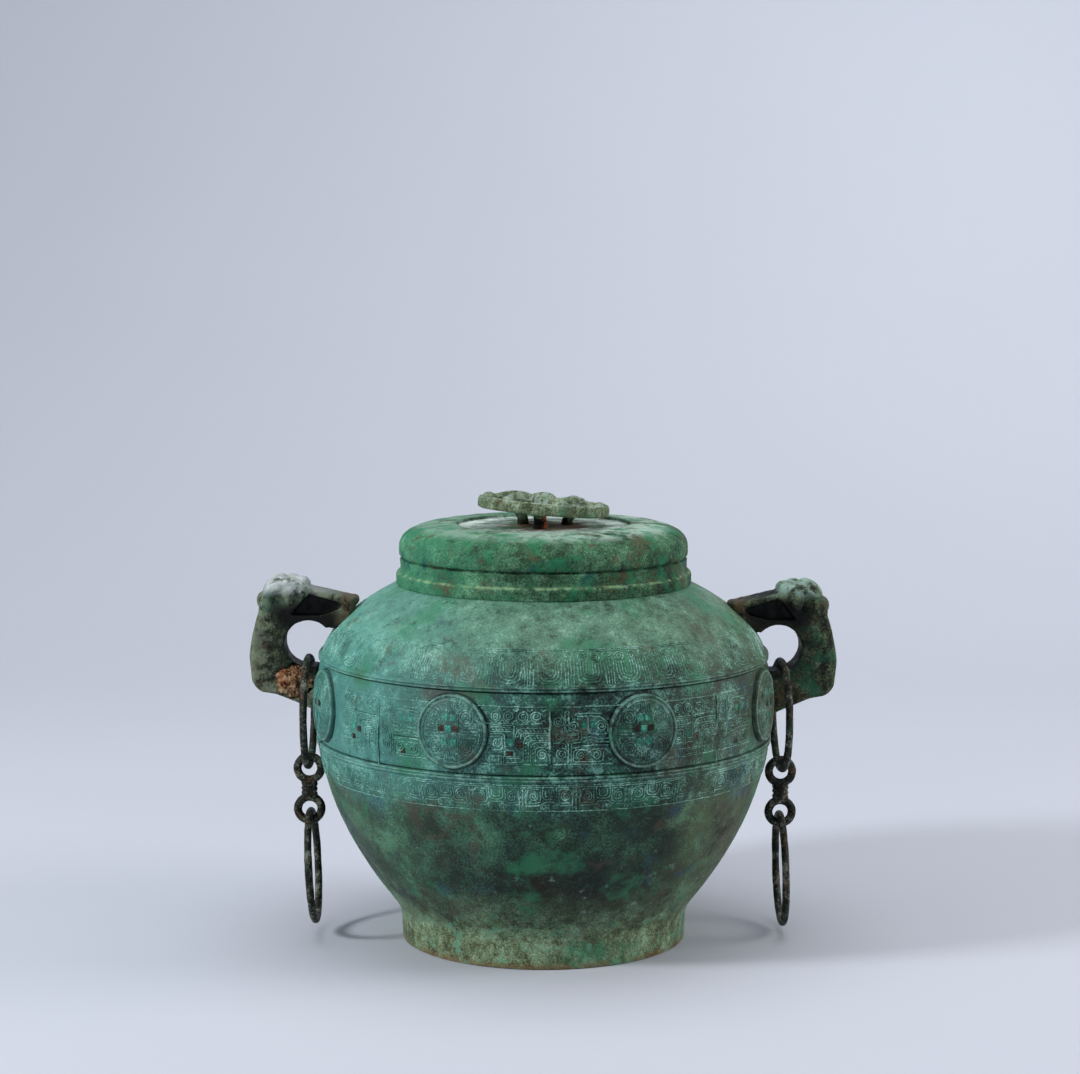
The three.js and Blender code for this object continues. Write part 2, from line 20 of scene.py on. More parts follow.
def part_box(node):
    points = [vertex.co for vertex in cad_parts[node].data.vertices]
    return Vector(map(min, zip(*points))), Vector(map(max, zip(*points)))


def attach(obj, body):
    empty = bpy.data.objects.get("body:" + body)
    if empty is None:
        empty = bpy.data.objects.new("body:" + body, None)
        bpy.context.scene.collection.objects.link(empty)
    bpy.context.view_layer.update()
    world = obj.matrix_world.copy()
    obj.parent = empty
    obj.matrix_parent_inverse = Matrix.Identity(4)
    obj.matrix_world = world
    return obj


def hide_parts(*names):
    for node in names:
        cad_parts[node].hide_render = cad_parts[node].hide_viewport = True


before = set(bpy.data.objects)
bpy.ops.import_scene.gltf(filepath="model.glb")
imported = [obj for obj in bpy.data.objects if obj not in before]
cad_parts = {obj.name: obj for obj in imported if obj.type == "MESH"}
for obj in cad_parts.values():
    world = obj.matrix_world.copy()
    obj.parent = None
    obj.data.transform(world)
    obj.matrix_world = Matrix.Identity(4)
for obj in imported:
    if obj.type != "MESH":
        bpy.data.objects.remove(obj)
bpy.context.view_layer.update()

MM = 0.001

# %% [markdown]
# ## The camera and the room
#
# The camera looks slightly down at the jar from 2.5 m away with a long lens. It comes first,
# so that every later piece can be looked at from the same place. The jar is turned a little
# against the camera: the moulding seam at its front stands right of the middle, so the camera
# is swung round the jar's axis by that angle.

# %% Camera
LENS = 91.83
SENSOR_WIDTH = 36
CAMERA_SIDE = -3.3 * MM
CAMERA_BACK = 2542 * MM
CAMERA_HEIGHT = 669.5 * MM
CAMERA_DIP = 0.115
CAMERA_SWING = math.radians(-1.4)

place = Matrix.Rotation(CAMERA_SWING, 3, "Z") @ Vector((CAMERA_SIDE, -CAMERA_BACK, CAMERA_HEIGHT))
bpy.ops.object.camera_add(location=place, rotation=(math.pi / 2 - CAMERA_DIP, 0, CAMERA_SWING))
camera = bpy.context.object
camera.data.lens = LENS
camera.data.sensor_width = SENSOR_WIDTH
bpy.context.scene.camera = camera
bpy.context.scene.view_settings.view_transform = "Standard"
print("camera at", tuple(round(v, 3) for v in place))

# %% [markdown]
# ## Small helpers
#
# Every piece starts from a primitive and is shaped with the same tools that the menus offer.
# These helpers keep the selection clean, because an operator acts on all that is selected.

# %% Helpers for objects
def choose(*objects):
    """Select these objects alone and make the last one active."""
    bpy.ops.object.select_all(action="DESELECT")
    for obj in objects:
        obj.select_set(True)
    bpy.context.view_layer.objects.active = objects[-1]


def add(primitive, name, **settings):
    """Add one primitive to a clean selection and name it."""
    bpy.ops.object.select_all(action="DESELECT")
    primitive(**settings)
    obj = bpy.context.object
    obj.name = name
    return obj


def settle(obj, smooth=None):
    """Put an object's place into its mesh, and shade it smooth up to an angle in degrees."""
    choose(obj)
    bpy.ops.object.transform_apply(location=True, rotation=True, scale=True)
    if smooth:
        bpy.ops.object.shade_smooth_by_angle(angle=math.radians(smooth))
    return obj


def modify(obj, kind, **settings):
    """Add a modifier, set it and apply it."""
    choose(obj)
    modifier = obj.modifiers.new(kind, kind)
    for key, value in settings.items():
        setattr(modifier, key, value)
    bpy.ops.object.modifier_apply(modifier=modifier.name)
    return obj


def join(name, *objects):
    """Join objects into one mesh at the origin."""
    for obj in objects:
        settle(obj)
    choose(*objects)
    bpy.ops.object.join()
    objects[-1].name = name
    return objects[-1]


def weather(obj, *crusts):
    """Make a surface uneven: each crust is given as the size of its lumps and its depth in millimetres."""
    for (grain, depth), basis in zip(crusts, ("ORIGINAL_PERLIN", "IMPROVED_PERLIN")):
        texture = bpy.data.textures.new(f"{obj.name} crust", "CLOUDS")
        texture.noise_scale = grain * MM
        texture.noise_depth = 2
        texture.cloud_type = "GRAYSCALE"
        texture.noise_basis = basis
        modify(obj, "DISPLACE", texture=texture, texture_coords="LOCAL", strength=depth * MM, mid_level=0.5)
    return obj


def vertices(obj):
    """A mesh's vertices as an array."""
    spots = np.empty(3 * len(obj.data.vertices))
    obj.data.vertices.foreach_get("co", spots)
    return spots.reshape(-1, 3)


def move_vertices(obj, spots):
    """Write an array of places back to a mesh."""
    obj.data.vertices.foreach_set("co", np.ascontiguousarray(spots).ravel())
    obj.data.update()


def report(*objects):
    """Print how many triangles each piece has and where it is."""
    for obj in objects:
        obj.data.calc_loop_triangles()
        spots = vertices(obj) / MM
        low, high = spots.min(0).round(1), spots.max(0).round(1)
        print(f"{obj.name}: {len(obj.data.loop_triangles)} triangles, {low} to {high} mm")


# %% [markdown]
# A round pot is one outline turned about its axis, as on a potter's wheel. The outline is drawn
# by extruding one vertex from point to point, and Spin then makes the whole shell from it.

# %% Turning an outline
WELD = 0.01 * MM


def drawn(name, points):
    """Draw a line from point to point by extruding one vertex, and stay in edit mode."""
    obj = add(bpy.ops.mesh.primitive_plane_add, name, size=MM)
    bpy.ops.object.mode_set(mode="EDIT")
    bpy.ops.mesh.merge(type="CENTER")
    bpy.ops.transform.translate(value=points[0])
    for start, end in zip(points, points[1:]):
        step = tuple(b - a for a, b in zip(start, end))
        bpy.ops.mesh.extrude_vertices_move(TRANSFORM_OT_translate={"value": step})
    bpy.ops.mesh.select_all(action="SELECT")
    return obj


def close_seams():
    """Merge what lies together, turn the faces outwards and leave edit mode."""
    bpy.ops.mesh.select_all(action="SELECT")
    bpy.ops.mesh.remove_doubles(threshold=WELD)
    bpy.ops.mesh.normals_make_consistent(inside=False)
    bpy.ops.object.mode_set(mode="OBJECT")


def turned(name, outline, steps):
    """Spin an outline of (radius, height) points round the Z axis into a closed shell."""
    obj = drawn(name, [(r, 0, z) for r, z in outline])
    bpy.ops.mesh.spin(steps=steps, angle=math.tau, center=(0, 0, 0), axis=(0, 0, 1))
    close_seams()
    return obj


# %% [markdown]
# ## The jar
#
# The jar is one casting: a ring foot, a full belly, a low shoulder and an upright neck under the
# lid. Two double fillets with a dark groove beside them frame the belly band, which lies a
# little deeper. The outline follows two power curves that meet at the widest place.

# %% The jar's outline
FOOT_RADIUS = 133 * MM
FOOT_HEIGHT = 30 * MM
FOOT_WALL = 8 * MM
FOOT_HOLLOW = 24 * MM
COVE = 11 * MM
BELLY_RADIUS = 212.5 * MM
BELLY_HEIGHT = 222 * MM
BELLY_FULLNESS = 2.05
SHOULDER_TOP = 342 * MM
SHOULDER_FULLNESS = 3
NECK_RADIUS = 118 * MM
NECK_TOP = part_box("vessel_body")[1][2]
JAR_WALL = 5 * MM
LOWER_FILLET = 192 * MM
UPPER_FILLET = 265 * MM
BAND_RECESS = 1.2 * MM
FILLET_EDGES = [(1.3, -1.2), (1.0, -2.3), (0.1, -2.3), (-0.2, 0.5), (-0.7, 1.2), (-1.5, 1.3),
                (-2.1, 0.7), (-2.5, 0.4), (-2.9, 0.8), (-3.5, 1.2), (-4.3, 1.1), (-5.0, 0.4), (-5.8, 0)]


def wall_radius(z):
    """Radius of the jar's plain outside at a height."""
    if z < BELLY_HEIGHT:
        below = (BELLY_HEIGHT - z) / (BELLY_HEIGHT - FOOT_HEIGHT)
        return BELLY_RADIUS - (BELLY_RADIUS - FOOT_RADIUS) * below ** BELLY_FULLNESS
    above = (z - BELLY_HEIGHT) / (SHOULDER_TOP - BELLY_HEIGHT)
    return BELLY_RADIUS - (BELLY_RADIUS - NECK_RADIUS) * above ** SHOULDER_FULLNESS


def wall_points(low, high, out, step=2 * MM):
    """Points on the wall from one height to another, moved out along the wall's normal."""
    count = max(2, round(abs(high - low) / step))
    points = []
    for z in np.linspace(low, high, count):
        slope = (wall_radius(z + 0.5 * MM) - wall_radius(z - 0.5 * MM)) / MM
        length = math.hypot(1, slope)
        points.append((wall_radius(z) + out / length, z - out * slope / length))
    return points


def fillet_points(height, side):
    """The raised double line: side 1 looks up to the band above it, side -1 down to the band below."""
    radius = wall_radius(height)
    edges = [(radius + rise * MM, height + side * dz * MM) for dz, rise in FILLET_EDGES]
    return edges[::-1] if side > 0 else edges


def jar_outline():
    """The jar's section, from the foot's hollow round the outside to the floor inside."""
    foot_inside = FOOT_RADIUS - FOOT_WALL
    lip = 1.5 * MM
    corner = 2 * MM
    inside = [(r, z) for r, z in wall_points(SHOULDER_TOP, FOOT_HEIGHT, -JAR_WALL, 8 * MM)
              if r > NECK_RADIUS - JAR_WALL and FOOT_HOLLOW + 2 * JAR_WALL < z < SHOULDER_TOP - JAR_WALL]
    foot = [(0, FOOT_HOLLOW), (foot_inside / 2, FOOT_HOLLOW), (foot_inside - corner, FOOT_HOLLOW),
            (foot_inside, FOOT_HOLLOW - corner), (foot_inside, lip / 2), (foot_inside + lip, 0),
            (FOOT_RADIUS - 2 * lip, 0), (FOOT_RADIUS - lip / 2, lip / 2)]
    foot += [(FOOT_RADIUS - lip / 4 * (1 - t), FOOT_HEIGHT * t) for t in (0.12, 0.3, 0.5)]
    low, high = FOOT_HEIGHT - COVE, FOOT_HEIGHT + COVE
    for t in np.linspace(0, 1, 10):
        radius = (1 - t * t) * FOOT_RADIUS + t * t * wall_radius(high)
        foot.append((radius, low + (high - low) * t))
    neck = [(NECK_RADIUS, SHOULDER_TOP + 1 * MM), (NECK_RADIUS, NECK_TOP - 10 * MM),
            (NECK_RADIUS, NECK_TOP - lip), (NECK_RADIUS - lip, NECK_TOP),
            (NECK_RADIUS - JAR_WALL + lip, NECK_TOP), (NECK_RADIUS - JAR_WALL, NECK_TOP - lip),
            (NECK_RADIUS - JAR_WALL, SHOULDER_TOP - JAR_WALL)]
    band = wall_points(LOWER_FILLET + 2.5 * MM, UPPER_FILLET - 2.5 * MM, -BAND_RECESS)
    return (foot
            + wall_points(FOOT_HEIGHT + COVE + 2 * MM, LOWER_FILLET - 6.5 * MM, 0)
            + fillet_points(LOWER_FILLET, 1)
            + band
            + fillet_points(UPPER_FILLET, -1)
            + wall_points(UPPER_FILLET + 6.5 * MM, SHOULDER_TOP - 1 * MM, 0)
            + neck + inside
            + [(r, FOOT_HOLLOW + JAR_WALL) for r in (foot_inside - 2 * JAR_WALL, foot_inside / 2, 0)])


# %% [markdown]
# The wheel turns in many small steps. The wall of the real jar is nowhere quite true, and
# corrosion has pitted its skin. Two Displace modifiers do the same, one with broad lumps and
# one with fine lumps.

# %% Spin the jar
JAR_STEPS = 320

jar = turned("jar", jar_outline(), JAR_STEPS)
weather(jar, (45, 0.9), (9, 0.5))
settle(jar, 40)
report(jar)

# %% [markdown]
# ## Relief that follows the wall
#
# The mould maker pressed the same stamp along each band, again and again. The stamp here is a
# set of drawn lines, each with a small round section, which makes a raised ridge once it is
# half sunk into the wall. An Array modifier repeats the stamp in a flat strip, and the strip is
# then laid round the jar. Where the bronze is worn, the ridges sink into the wall.

# %% Drawing lines for a stamp
CORNER_STEPS = 4
STEP = 1.7
SERPENT_STEP = 1.6
STROKE_MARGIN = 1.3


def rounded(points, radius):
    """A line through points in millimetres, with each corner cut by a small arc."""
    path = [np.array(points[0], float)]
    for before, corner, after in zip(points, points[1:], points[2:]):
        before, corner, after = (np.array(p, float) for p in (before, corner, after))
        reach = min(radius, np.linalg.norm(before - corner) / 2, np.linalg.norm(after - corner) / 2)
        start = corner + (before - corner) / np.linalg.norm(before - corner) * reach
        end = corner + (after - corner) / np.linalg.norm(after - corner) * reach
        for t in np.linspace(0, 1, CORNER_STEPS):
            path.append((1 - t) ** 2 * start + 2 * t * (1 - t) * corner + t * t * end)
    path.append(np.array(points[-1], float))
    return np.array(path)


def divided(path, step):
    """The same line with a point at every step along it."""
    lengths = np.r_[0, np.cumsum(np.linalg.norm(np.diff(path, axis=0), axis=1))]
    count = max(2, round(lengths[-1] / step) + 1)
    marks = np.linspace(0, lengths[-1], count)
    return np.column_stack([np.interp(marks, lengths, path[:, k]) for k in (0, 1)])


def beside(path, offset):
    """The line that runs beside another one at a distance to its left."""
    run = np.gradient(path, axis=0)
    run /= np.linalg.norm(run, axis=1)[:, None]
    return path + np.column_stack([-run[:, 1], run[:, 0]]) * offset


def coil(centre, outside, turns, start=0.0, hand=1, inside=0.9):
    """A spiral that winds in from its outside radius."""
    t = np.linspace(0, 1, round(16 * turns) + 1)
    angle = start + hand * math.tau * turns * t
    radius = outside + (inside - outside) * t
    return np.column_stack([centre[0] + radius * np.cos(angle), centre[1] + radius * np.sin(angle)])


def serpent(points, width, gap):
    """A serpent's body: two contours with slanted scale strokes between them."""
    middle = divided(rounded(points, width), SERPENT_STEP)
    left, right = beside(middle, width / 2), beside(middle, -width / 2)
    inside = width / 2 - STROKE_MARGIN
    starts, ends = beside(middle, inside), beside(middle, -inside)
    strokes = []
    for i in range(1, len(middle) - 2, max(1, round(gap / SERPENT_STEP))):
        strokes.append(np.array([starts[i], (starts[i] + ends[i + 1]) / 2, ends[i + 1]]))
    return [left, right] + strokes


def straight(*points):
    """A line with sharp corners."""
    return np.array(points, float)


# %% [markdown]
# A curve gets a round section from its bevel, so a line drawn on the flat becomes a ridge. To
# lay it on the jar, each vertex is moved by a formula: across the strip becomes round the jar,
# up the strip becomes up along the curved wall, and out of the strip becomes out of the wall.
#
# The lines waver a little, as drawn by hand. Blender's noise vectors start from the clock unless
# they are given a start of their own, so they get one here: the jar has to come out the same in
# every run.

# %% Ridges from lines, and laying them on the jar
WALL_LOW = 60 * MM
WALL_HIGH = 340 * MM
WAVER_SIZE = 9 * MM
WAVER_START = 7

noise.seed_set(WAVER_START)


def line_curve(name, dimensions="3D"):
    """An empty curve for lines with corners."""
    curve = bpy.data.curves.new(name, "CURVE")
    curve.dimensions = dimensions
    return curve


def add_line(curve, points):
    """Add one line to a curve, through points given as (x, y) or (x, y, z)."""
    spots = np.zeros((len(points), 4))
    spots[:, :len(points[0])] = points
    spots[:, 3] = 1
    spline = curve.splines.new("POLY")
    spline.points.add(len(points) - 1)
    spline.points.foreach_set("co", spots.ravel())
    return spline


def meshed(name, curve):
    """Turn a finished curve into a mesh object."""
    obj = bpy.data.objects.new(name, curve)
    bpy.context.collection.objects.link(obj)
    choose(obj)
    bpy.ops.object.convert(target="MESH")
    return bpy.context.object


def ridges(name, lines, width):
    """Turn drawn lines in millimetres into closed raised ridges in the XY plane."""
    curve = line_curve(name)
    for line in lines:
        add_line(curve, divided(np.asarray(line, float), STEP) * MM)
    curve.bevel_depth = width / 2 * MM
    curve.bevel_resolution = 0
    curve.use_fill_caps = True
    return meshed(name, curve)


def lay_on_jar(obj, level, out=0.0, wear=0.0, waver=0.0, seed=0.0):
    """Bend a flat strip round the jar: x runs round it, y up its wall from a level, z out of it.

    Wear sinks it here and there into the wall, and waver shifts it sideways as a hand would.
    """
    heights = np.linspace(WALL_LOW, WALL_HIGH, 1200)
    radii = np.array([wall_radius(z) for z in heights])
    length = np.r_[0, np.cumsum(np.hypot(np.diff(heights), np.diff(radii)))]
    start = np.interp(level, heights, length)
    spots = vertices(obj)
    if waver:
        drift = [noise.noise_vector(Vector((x / WAVER_SIZE, y / WAVER_SIZE, seed))) for x, y, _ in spots]
        spots[:, :2] += waver * np.array(drift)[:, :2]
    along_wall = start + spots[:, 1]
    z = np.interp(along_wall, length, heights)
    r = np.interp(along_wall, length, radii)
    slope = np.interp(along_wall, length, np.gradient(radii, heights))
    norm = np.hypot(1, slope)
    rise = spots[:, 2] + out
    angle = spots[:, 0] / wall_radius(level)
    if wear:
        worn = [noise.fractal(Vector((math.cos(a) * 4, math.sin(a) * 4, h * 22 + seed)), 0.8, 2, 3)
                for a, h in zip(angle, z)]
        rise = rise - wear * np.clip(np.array(worn) + 0.15, 0, 0.8)
    angle = angle - math.pi / 2
    radius = r + rise / norm
    laid = np.column_stack([radius * np.cos(angle), radius * np.sin(angle), z - rise * slope / norm])
    move_vertices(obj, laid)


def tabs(name, places, size, height):
    """Small flat squares in the XY plane, raised by a height."""
    cubes = []
    for x, y in places:
        cube = add(bpy.ops.mesh.primitive_cube_add, name, size=1, location=(x * MM, y * MM, 0))
        cube.scale = (size * MM, size * MM, 2 * height * MM)
        cubes.append(cube)
    return join(name, *cubes)


def around(obj, width, count, level, **laying):
    """Repeat a stamp of a width count times and lay the strip round the jar."""
    modify(obj, "ARRAY", count=count, use_relative_offset=False, use_constant_offset=True,
           constant_offset_displace=(width * MM, 0, 0))
    lay_on_jar(obj, level, **laying)


# %% [markdown]
# ### The belly band
#
# Between two medallions lies a maze of serpents under a row of small coils. The seam between two
# mould sections runs down its middle, and the stamps left and right of the seam differ: on the
# left the bodies turn down in nested hooks, on the right they coil in pairs over a double bar.
# Three small squares in each half held coloured inlay, and dark strips in the deepest grooves and just right
# of the seam stand for painted shade and dirt.

# %% Stamp of the belly band
BAND_MIDDLE = (LOWER_FILLET + UPPER_FILLET) / 2
BAND_LEVEL = 225 * MM
RIDGE = 1.15
PAIRS = 8
BAND_WIDTH = math.tau * wall_radius(BAND_LEVEL) / MM / PAIRS
HALF = BAND_WIDTH / 2
LEFT_GAP = 3.2
WIDE_GAP = 4.8
NARROW = 2.8


def left_of_seam():
    """Lines from a medallion's edge to the seam; x is counted from the medallion's middle."""
    lines = [straight((20, 28.3), (HALF - 3, 28.3)), straight((24, 13.6), (HALF - 6, 13.6)),
             straight((31, 12.0), (51, 12.0)), straight((26, -22.2), (58, -22.2)),
             straight((31, -15.2), (58, -15.2))]
    for x, hand in ((36, 1), (48, -1), (60, 1), (72, -1)):
        lines += [coil((x, 20), 5.3, 2.1, start=-math.pi / 2, hand=hand),
                  rounded([(x + 3.6, 14.2), (x + 6, 17.2), (x + 8.4, 14.2)], 2),
                  rounded([(x + 3.8, 26.4), (x + 6, 23.4), (x + 8.2, 26.4)], 2)]
    for points, width in (([(31.5, 8.3), (50, 8.3)], 3.8),
                          ([(HALF - 1.5, 7.6), (59, 7.6), (56, 4.5), (56, 0.5)], 4.6),
                          ([(HALF - 1.5, 1.4), (65.5, 1.4), (62.6, -2.5), (62.6, -19.5)], 4.6),
                          ([(HALF - 1.5, -4.6), (71.5, -4.6), (69, -8), (69, -19.5)], 4.4)):
        lines += serpent(points, width, LEFT_GAP)
    lines += [coil((76.8, -13.4), 4.8, 1.9, start=0.5),
              rounded([(31, 4.6), (44.6, 4.6), (44.6, -7.6)], 2.5),
              rounded([(31, 2.2), (42.2, 2.2), (42.2, -9.8), (34, -9.8)], 2.5),
              coil((37.4, -3.2), 4.2, 1.8, start=0.3, hand=-1),
              rounded([(44, -15.2), (44, -9.8), (53, -9.8), (53, -15.2)], 1.2),
              rounded([(52.4, 12), (52.4, -6.2), (45.6, -6.2)], 1.5)]
    lines += [straight((x, -15.2), (x, -22.2)) for x in (39, 41, 43)]
    lines += serpent([(45, -18.7), (58.5, -18.7)], 3.8, LEFT_GAP)
    return lines + [straight((60, -22.2), (HALF - 2, -22.2))]


def right_of_seam():
    """Lines from the seam to the next medallion; x is counted from the seam."""
    lines = [straight((3, 28.3), (63, 28.3)), straight((22, 22), (46, 22)), straight((3, -22.2), (56, -22.2))]
    for numbers in (((7.6, 15.5), 5.6, 2.2, 1.2, -1), ((20.4, 11.4), 4.2, 1.7, 0.0, 1),
                    ((45, 11), 5.0, 2.0, 3.0, -1), ((10.4, -12.8), 5.4, 2.1, 0.5, 1),
                    ((27, -14.2), 4.2, 1.7, 1.6, 1), ((41, -14.2), 4.2, 1.7, 1.6, -1),
                    ((8, 1.8), 4.6, 1.8, 4.0, 1)):
        lines.append(coil(*numbers))
    for points in ([(15.2, 24.5), (15.2, 6), (26.4, 6), (26.4, 1)],
                   [(20, -1.6), (28, -1.6), (31, 0.4), (38, 0.4), (41, -1.6), (52, -1.6)],
                   [(17.4, -20.5), (17.4, -3)]):
        lines += serpent(points, NARROW, WIDE_GAP)
    for radius, points in ((3, [(13, 24), (13, 3.8), (24, 3.8)]),
                           (2, [(23.8, 19.5), (33.4, 19.5), (33.4, 5.5), (38, 4), (50, 4)]),
                           (3, [(35, 19.5), (43.5, 19.5), (51, 14), (51, 5)]),
                           (2, [(19, -7.6), (25, -7.6), (28, -5.8), (52, -5.8)]),
                           (3, [(20.5, -19.5), (20.5, -9.4), (33, -9.4), (34.3, -13), (35.6, -9.4),
                                (50, -9.4)]),
                           (3, [(22, -20), (47, -20), (47, -12)]),
                           (2, [(3, -3.6), (14, -3.6), (14, -8)])):
        lines.append(rounded(points, radius))
    return lines


def moved(lines, x):
    """The same lines moved along the band."""
    return [np.asarray(line) + np.array([x, 0]) for line in lines]


INLAY_SIZE = 5.8
green_inlay = [(48.6, -2.4), (HALF + 29.2, 12.8), (HALF + 38.2, 12.8)]
brown_inlay = [(48.6, -12.6), (57, -4.8), (HALF + 29.2, -17.4)]
# Dark strips in the deepest grooves and just right of the seam: painted shade, with some dirt.
shade_and_dirt_lines = [[(53.6, 10.9), (HALF - 3, 10.9)], [(53.6, 10.9), (53.6, -1)], [(59.7, 4.3), (HALF - 2, 4.3)],
              [(59.7, 4.3), (59.7, -20)], [(66, -1.8), (66, -20)], [(45.8, 4), (45.8, -8)],
              [(HALF + 1.6, 24), (HALF + 1.6, -22)], [(HALF + 19, -4.4), (HALF + 52, -4.4)],
              [(HALF + 28, 8.2), (HALF + 42, 8.2)], [(HALF + 18.4, 20), (HALF + 18.4, 6)],
              [(32, 10.2), (52, 10.2)], [(32, -13.2), (43, -13.2)]]

belly_relief = ridges("belly_band_relief", left_of_seam() + moved(right_of_seam(), HALF), RIDGE)
around(belly_relief, BAND_WIDTH, PAIRS, BAND_LEVEL, out=0.2 * MM - BAND_RECESS, wear=0.5 * MM,
       waver=0.7 * MM, seed=3.0)
# The dark strips of painted shade and dirt, sunk a little into the band.
belly_shade_and_dirt = ridges("shade_and_dirt_in_the_grooves", shade_and_dirt_lines, 2.0)
around(belly_shade_and_dirt, BAND_WIDTH, PAIRS, BAND_LEVEL, out=-0.72 * MM - BAND_RECESS, wear=0.5 * MM, seed=5.0)
belly_green = tabs("green_inlay", green_inlay, INLAY_SIZE, 0.35)
around(belly_green, BAND_WIDTH, PAIRS, BAND_LEVEL, out=-BAND_RECESS)
belly_brown = tabs("brown_inlay", brown_inlay, 0.85 * INLAY_SIZE, 0.3)
around(belly_brown, BAND_WIDTH, PAIRS, BAND_LEVEL, out=-BAND_RECESS)
for piece in (belly_relief, belly_shade_and_dirt, belly_green, belly_brown):
    piece.data.transform(Matrix.Rotation(-math.pi / PAIRS, 4, "Z"))
report(belly_relief, belly_shade_and_dirt, belly_green, belly_brown)

# %% [markdown]
# ### The shoulder band and the lower band
#
# On the shoulder the serpents have shrunk to nested loops around pairs of coils, and under the
# belly band there is a row of tongues between smaller coils.

# %% Stamps of the shoulder band and the lower band
SHOULDER_LEVEL = 285 * MM
SHOULDER_COUNT = 36
SHOULDER_UNIT = math.tau * wall_radius(SHOULDER_LEVEL) / MM / SHOULDER_COUNT
LOWER_LEVEL = 174 * MM
LOWER_COUNT = 28
LOWER_UNIT = math.tau * wall_radius(LOWER_LEVEL) / MM / LOWER_COUNT


def shoulder_stamp():
    """A nest of loops, a fan of posts and two coils, one unit wide and centred on x = 0."""
    edge = SHOULDER_UNIT / 2
    lines = [straight((-edge, y), (edge, y)) for y in (18.4, 16.6, -17.6)]
    for k in range(4):
        half, low = 10.4 - 2.5 * k, -14.4 + 2.5 * k
        lines.append(rounded([(-half, 5), (-half, low), (half, low), (half, 5)], 8.5 - k))
    for side in (-1, 1):
        lines.append(coil((side * 5.6, 10.4), 4.9, 2.0, start=-math.pi / 2, hand=side))
        for k in range(2):
            x = side * (edge - 1.2 - 2.4 * k)
            lines.append(rounded([(x, -17), (x, -3), (x - side * k * 1.2, 4 + k), (x, 9 - k)], 5))
        outer = side * (edge - 1)
        lines.append(rounded([(outer, 15), (side * (edge - 5.5), 12.6), (outer, 10)], 2))
    return lines


def lower_stamp():
    """A tongue between nested loops and coils under a double line, centred on x = 0."""
    edge = LOWER_UNIT / 2
    lines = [straight((-edge, y), (edge, y)) for y in (10.6, 8.8, -13.4)]
    lines += [rounded([(-6, 8.8), (-6, -2.4), (6, -2.4), (6, 8.8)], 3.5),
              rounded([(-3.6, 7), (-3.6, 0), (3.6, 0), (3.6, 7)], 2.5)]
    for side in (-1, 1):
        lines += [coil((side * 14, 0.4), 4.6, 1.9, start=math.pi / 2, hand=side),
                  rounded([(side * 8, 7), (side * 8, -5.6), (side * 18, -5.6)], 3),
                  rounded([(side * 9, 7), (side * 19, 7), (side * 19.6, 0)], 3),
                  rounded([(0, -4.6), (side * 5, -4.6), (side * 8, -8), (side * 20, -8)], 3),
                  coil((side * 5, -9), 2.9, 1.8, start=-1, hand=side)]
        lines += serpent([(side * (edge - 1.6), -11.6), (side * (edge - 1.6), 7)], NARROW, WIDE_GAP)
    return lines


shoulder_relief = ridges("shoulder_relief", shoulder_stamp(), 1.05)
around(shoulder_relief, SHOULDER_UNIT, SHOULDER_COUNT, SHOULDER_LEVEL, out=0.1 * MM, wear=0.85 * MM,
       waver=0.9 * MM, seed=8.0)
lower_relief = ridges("lower_band_relief", lower_stamp(), RIDGE)
around(lower_relief, LOWER_UNIT, LOWER_COUNT, LOWER_LEVEL, out=0.1 * MM, wear=0.8 * MM,
       waver=0.8 * MM, seed=14.0)
report(shoulder_relief, lower_relief)

# %% [markdown]
# ### The medallions
#
# Eight round bosses sit on the belly band, each with a raised ring, a groove and a low dome. One
# is spun flat, given its cross of small squares and four coiled serpents, and then laid on the
# belly eight times.

# %% One medallion, laid on eight times
MEDALLION_RADIUS = 32.4
MEDALLION_OUTLINE = [(0, -4), (31.6, -4), (31.8, 0.4), (32.4, 1.6), (32.4, 3.2), (31.9, 4.2), (31.1, 4.6),
                     (30.3, 4.3), (29.9, 3.4), (29.4, 3.2), (28.9, 3.6), (28.0, 4.0), (23, 4.6), (17.5, 5.0),
                     (11, 5.3), (5, 5.5), (0, 5.5)]
DOME = sorted((r, h) for r, h in MEDALLION_OUTLINE if h > 0)
SQUARE = 5.6
RING_LINE = 26.6
MEDALLION_LEVEL = BAND_MIDDLE + 1 * MM
MEDALLION_TURNS = [0, 2.5, 0, 0, 0, 0, -5.2, -0.9]


def quadrant():
    """The serpent in the upper right quarter of a medallion."""
    lines = [coil((14.4, 13.2), 7.4, 2.9, start=-math.pi / 2)]
    for radius, points in ((1.5, [(7.4, 6.2), (7.4, 15.4), (1, 15.4), (1, 24.6)]),
                           (2, [(9, 7), (9, 4.4), (24.6, 4.4), (22.5, 9)]),
                           (1.5, [(3, 17.4), (3, 24.4), (9.5, 23.6)]),
                           (1, [(10.5, 1.3), (25.2, 1.3)]),
                           (1.5, [(5, 24), (5, 19.4), (8, 17.6)])):
        lines.append(rounded(points, radius))
    return lines


def flipped(lines, sx, sy):
    """The same lines mirrored across one or both axes."""
    return [line * np.array([sx, sy]) for line in lines]


ring_turn = np.linspace(0, math.tau, 61)
medallion_lines = [RING_LINE * np.column_stack([np.cos(ring_turn), np.sin(ring_turn)])]
for sx, sy in ((1, 1), (1, -1), (-1, 1), (-1, -1)):
    medallion_lines += flipped(quadrant(), sx, sy)
medallion_relief = ridges("medallion_relief", medallion_lines, 1.2)
green_checks = [(-5.2, 12.6), (2.8, 12.6), (-1.4, 3), (-5.6, -8.4), (3.2, -8.4)]
brown_checks = [(-8.2, 3.2), (5.2, 3.2)]
medallion_green = tabs("medallion_green", green_checks, SQUARE, 0.45)
medallion_brown = tabs("medallion_brown", brown_checks, SQUARE, 0.4)
boss = turned("medallions", [(r * MM, h * MM) for r, h in MEDALLION_OUTLINE], 72)

dome_r = np.array([r for r, h in DOME]) * MM
dome_h = np.array([h for r, h in DOME]) * MM


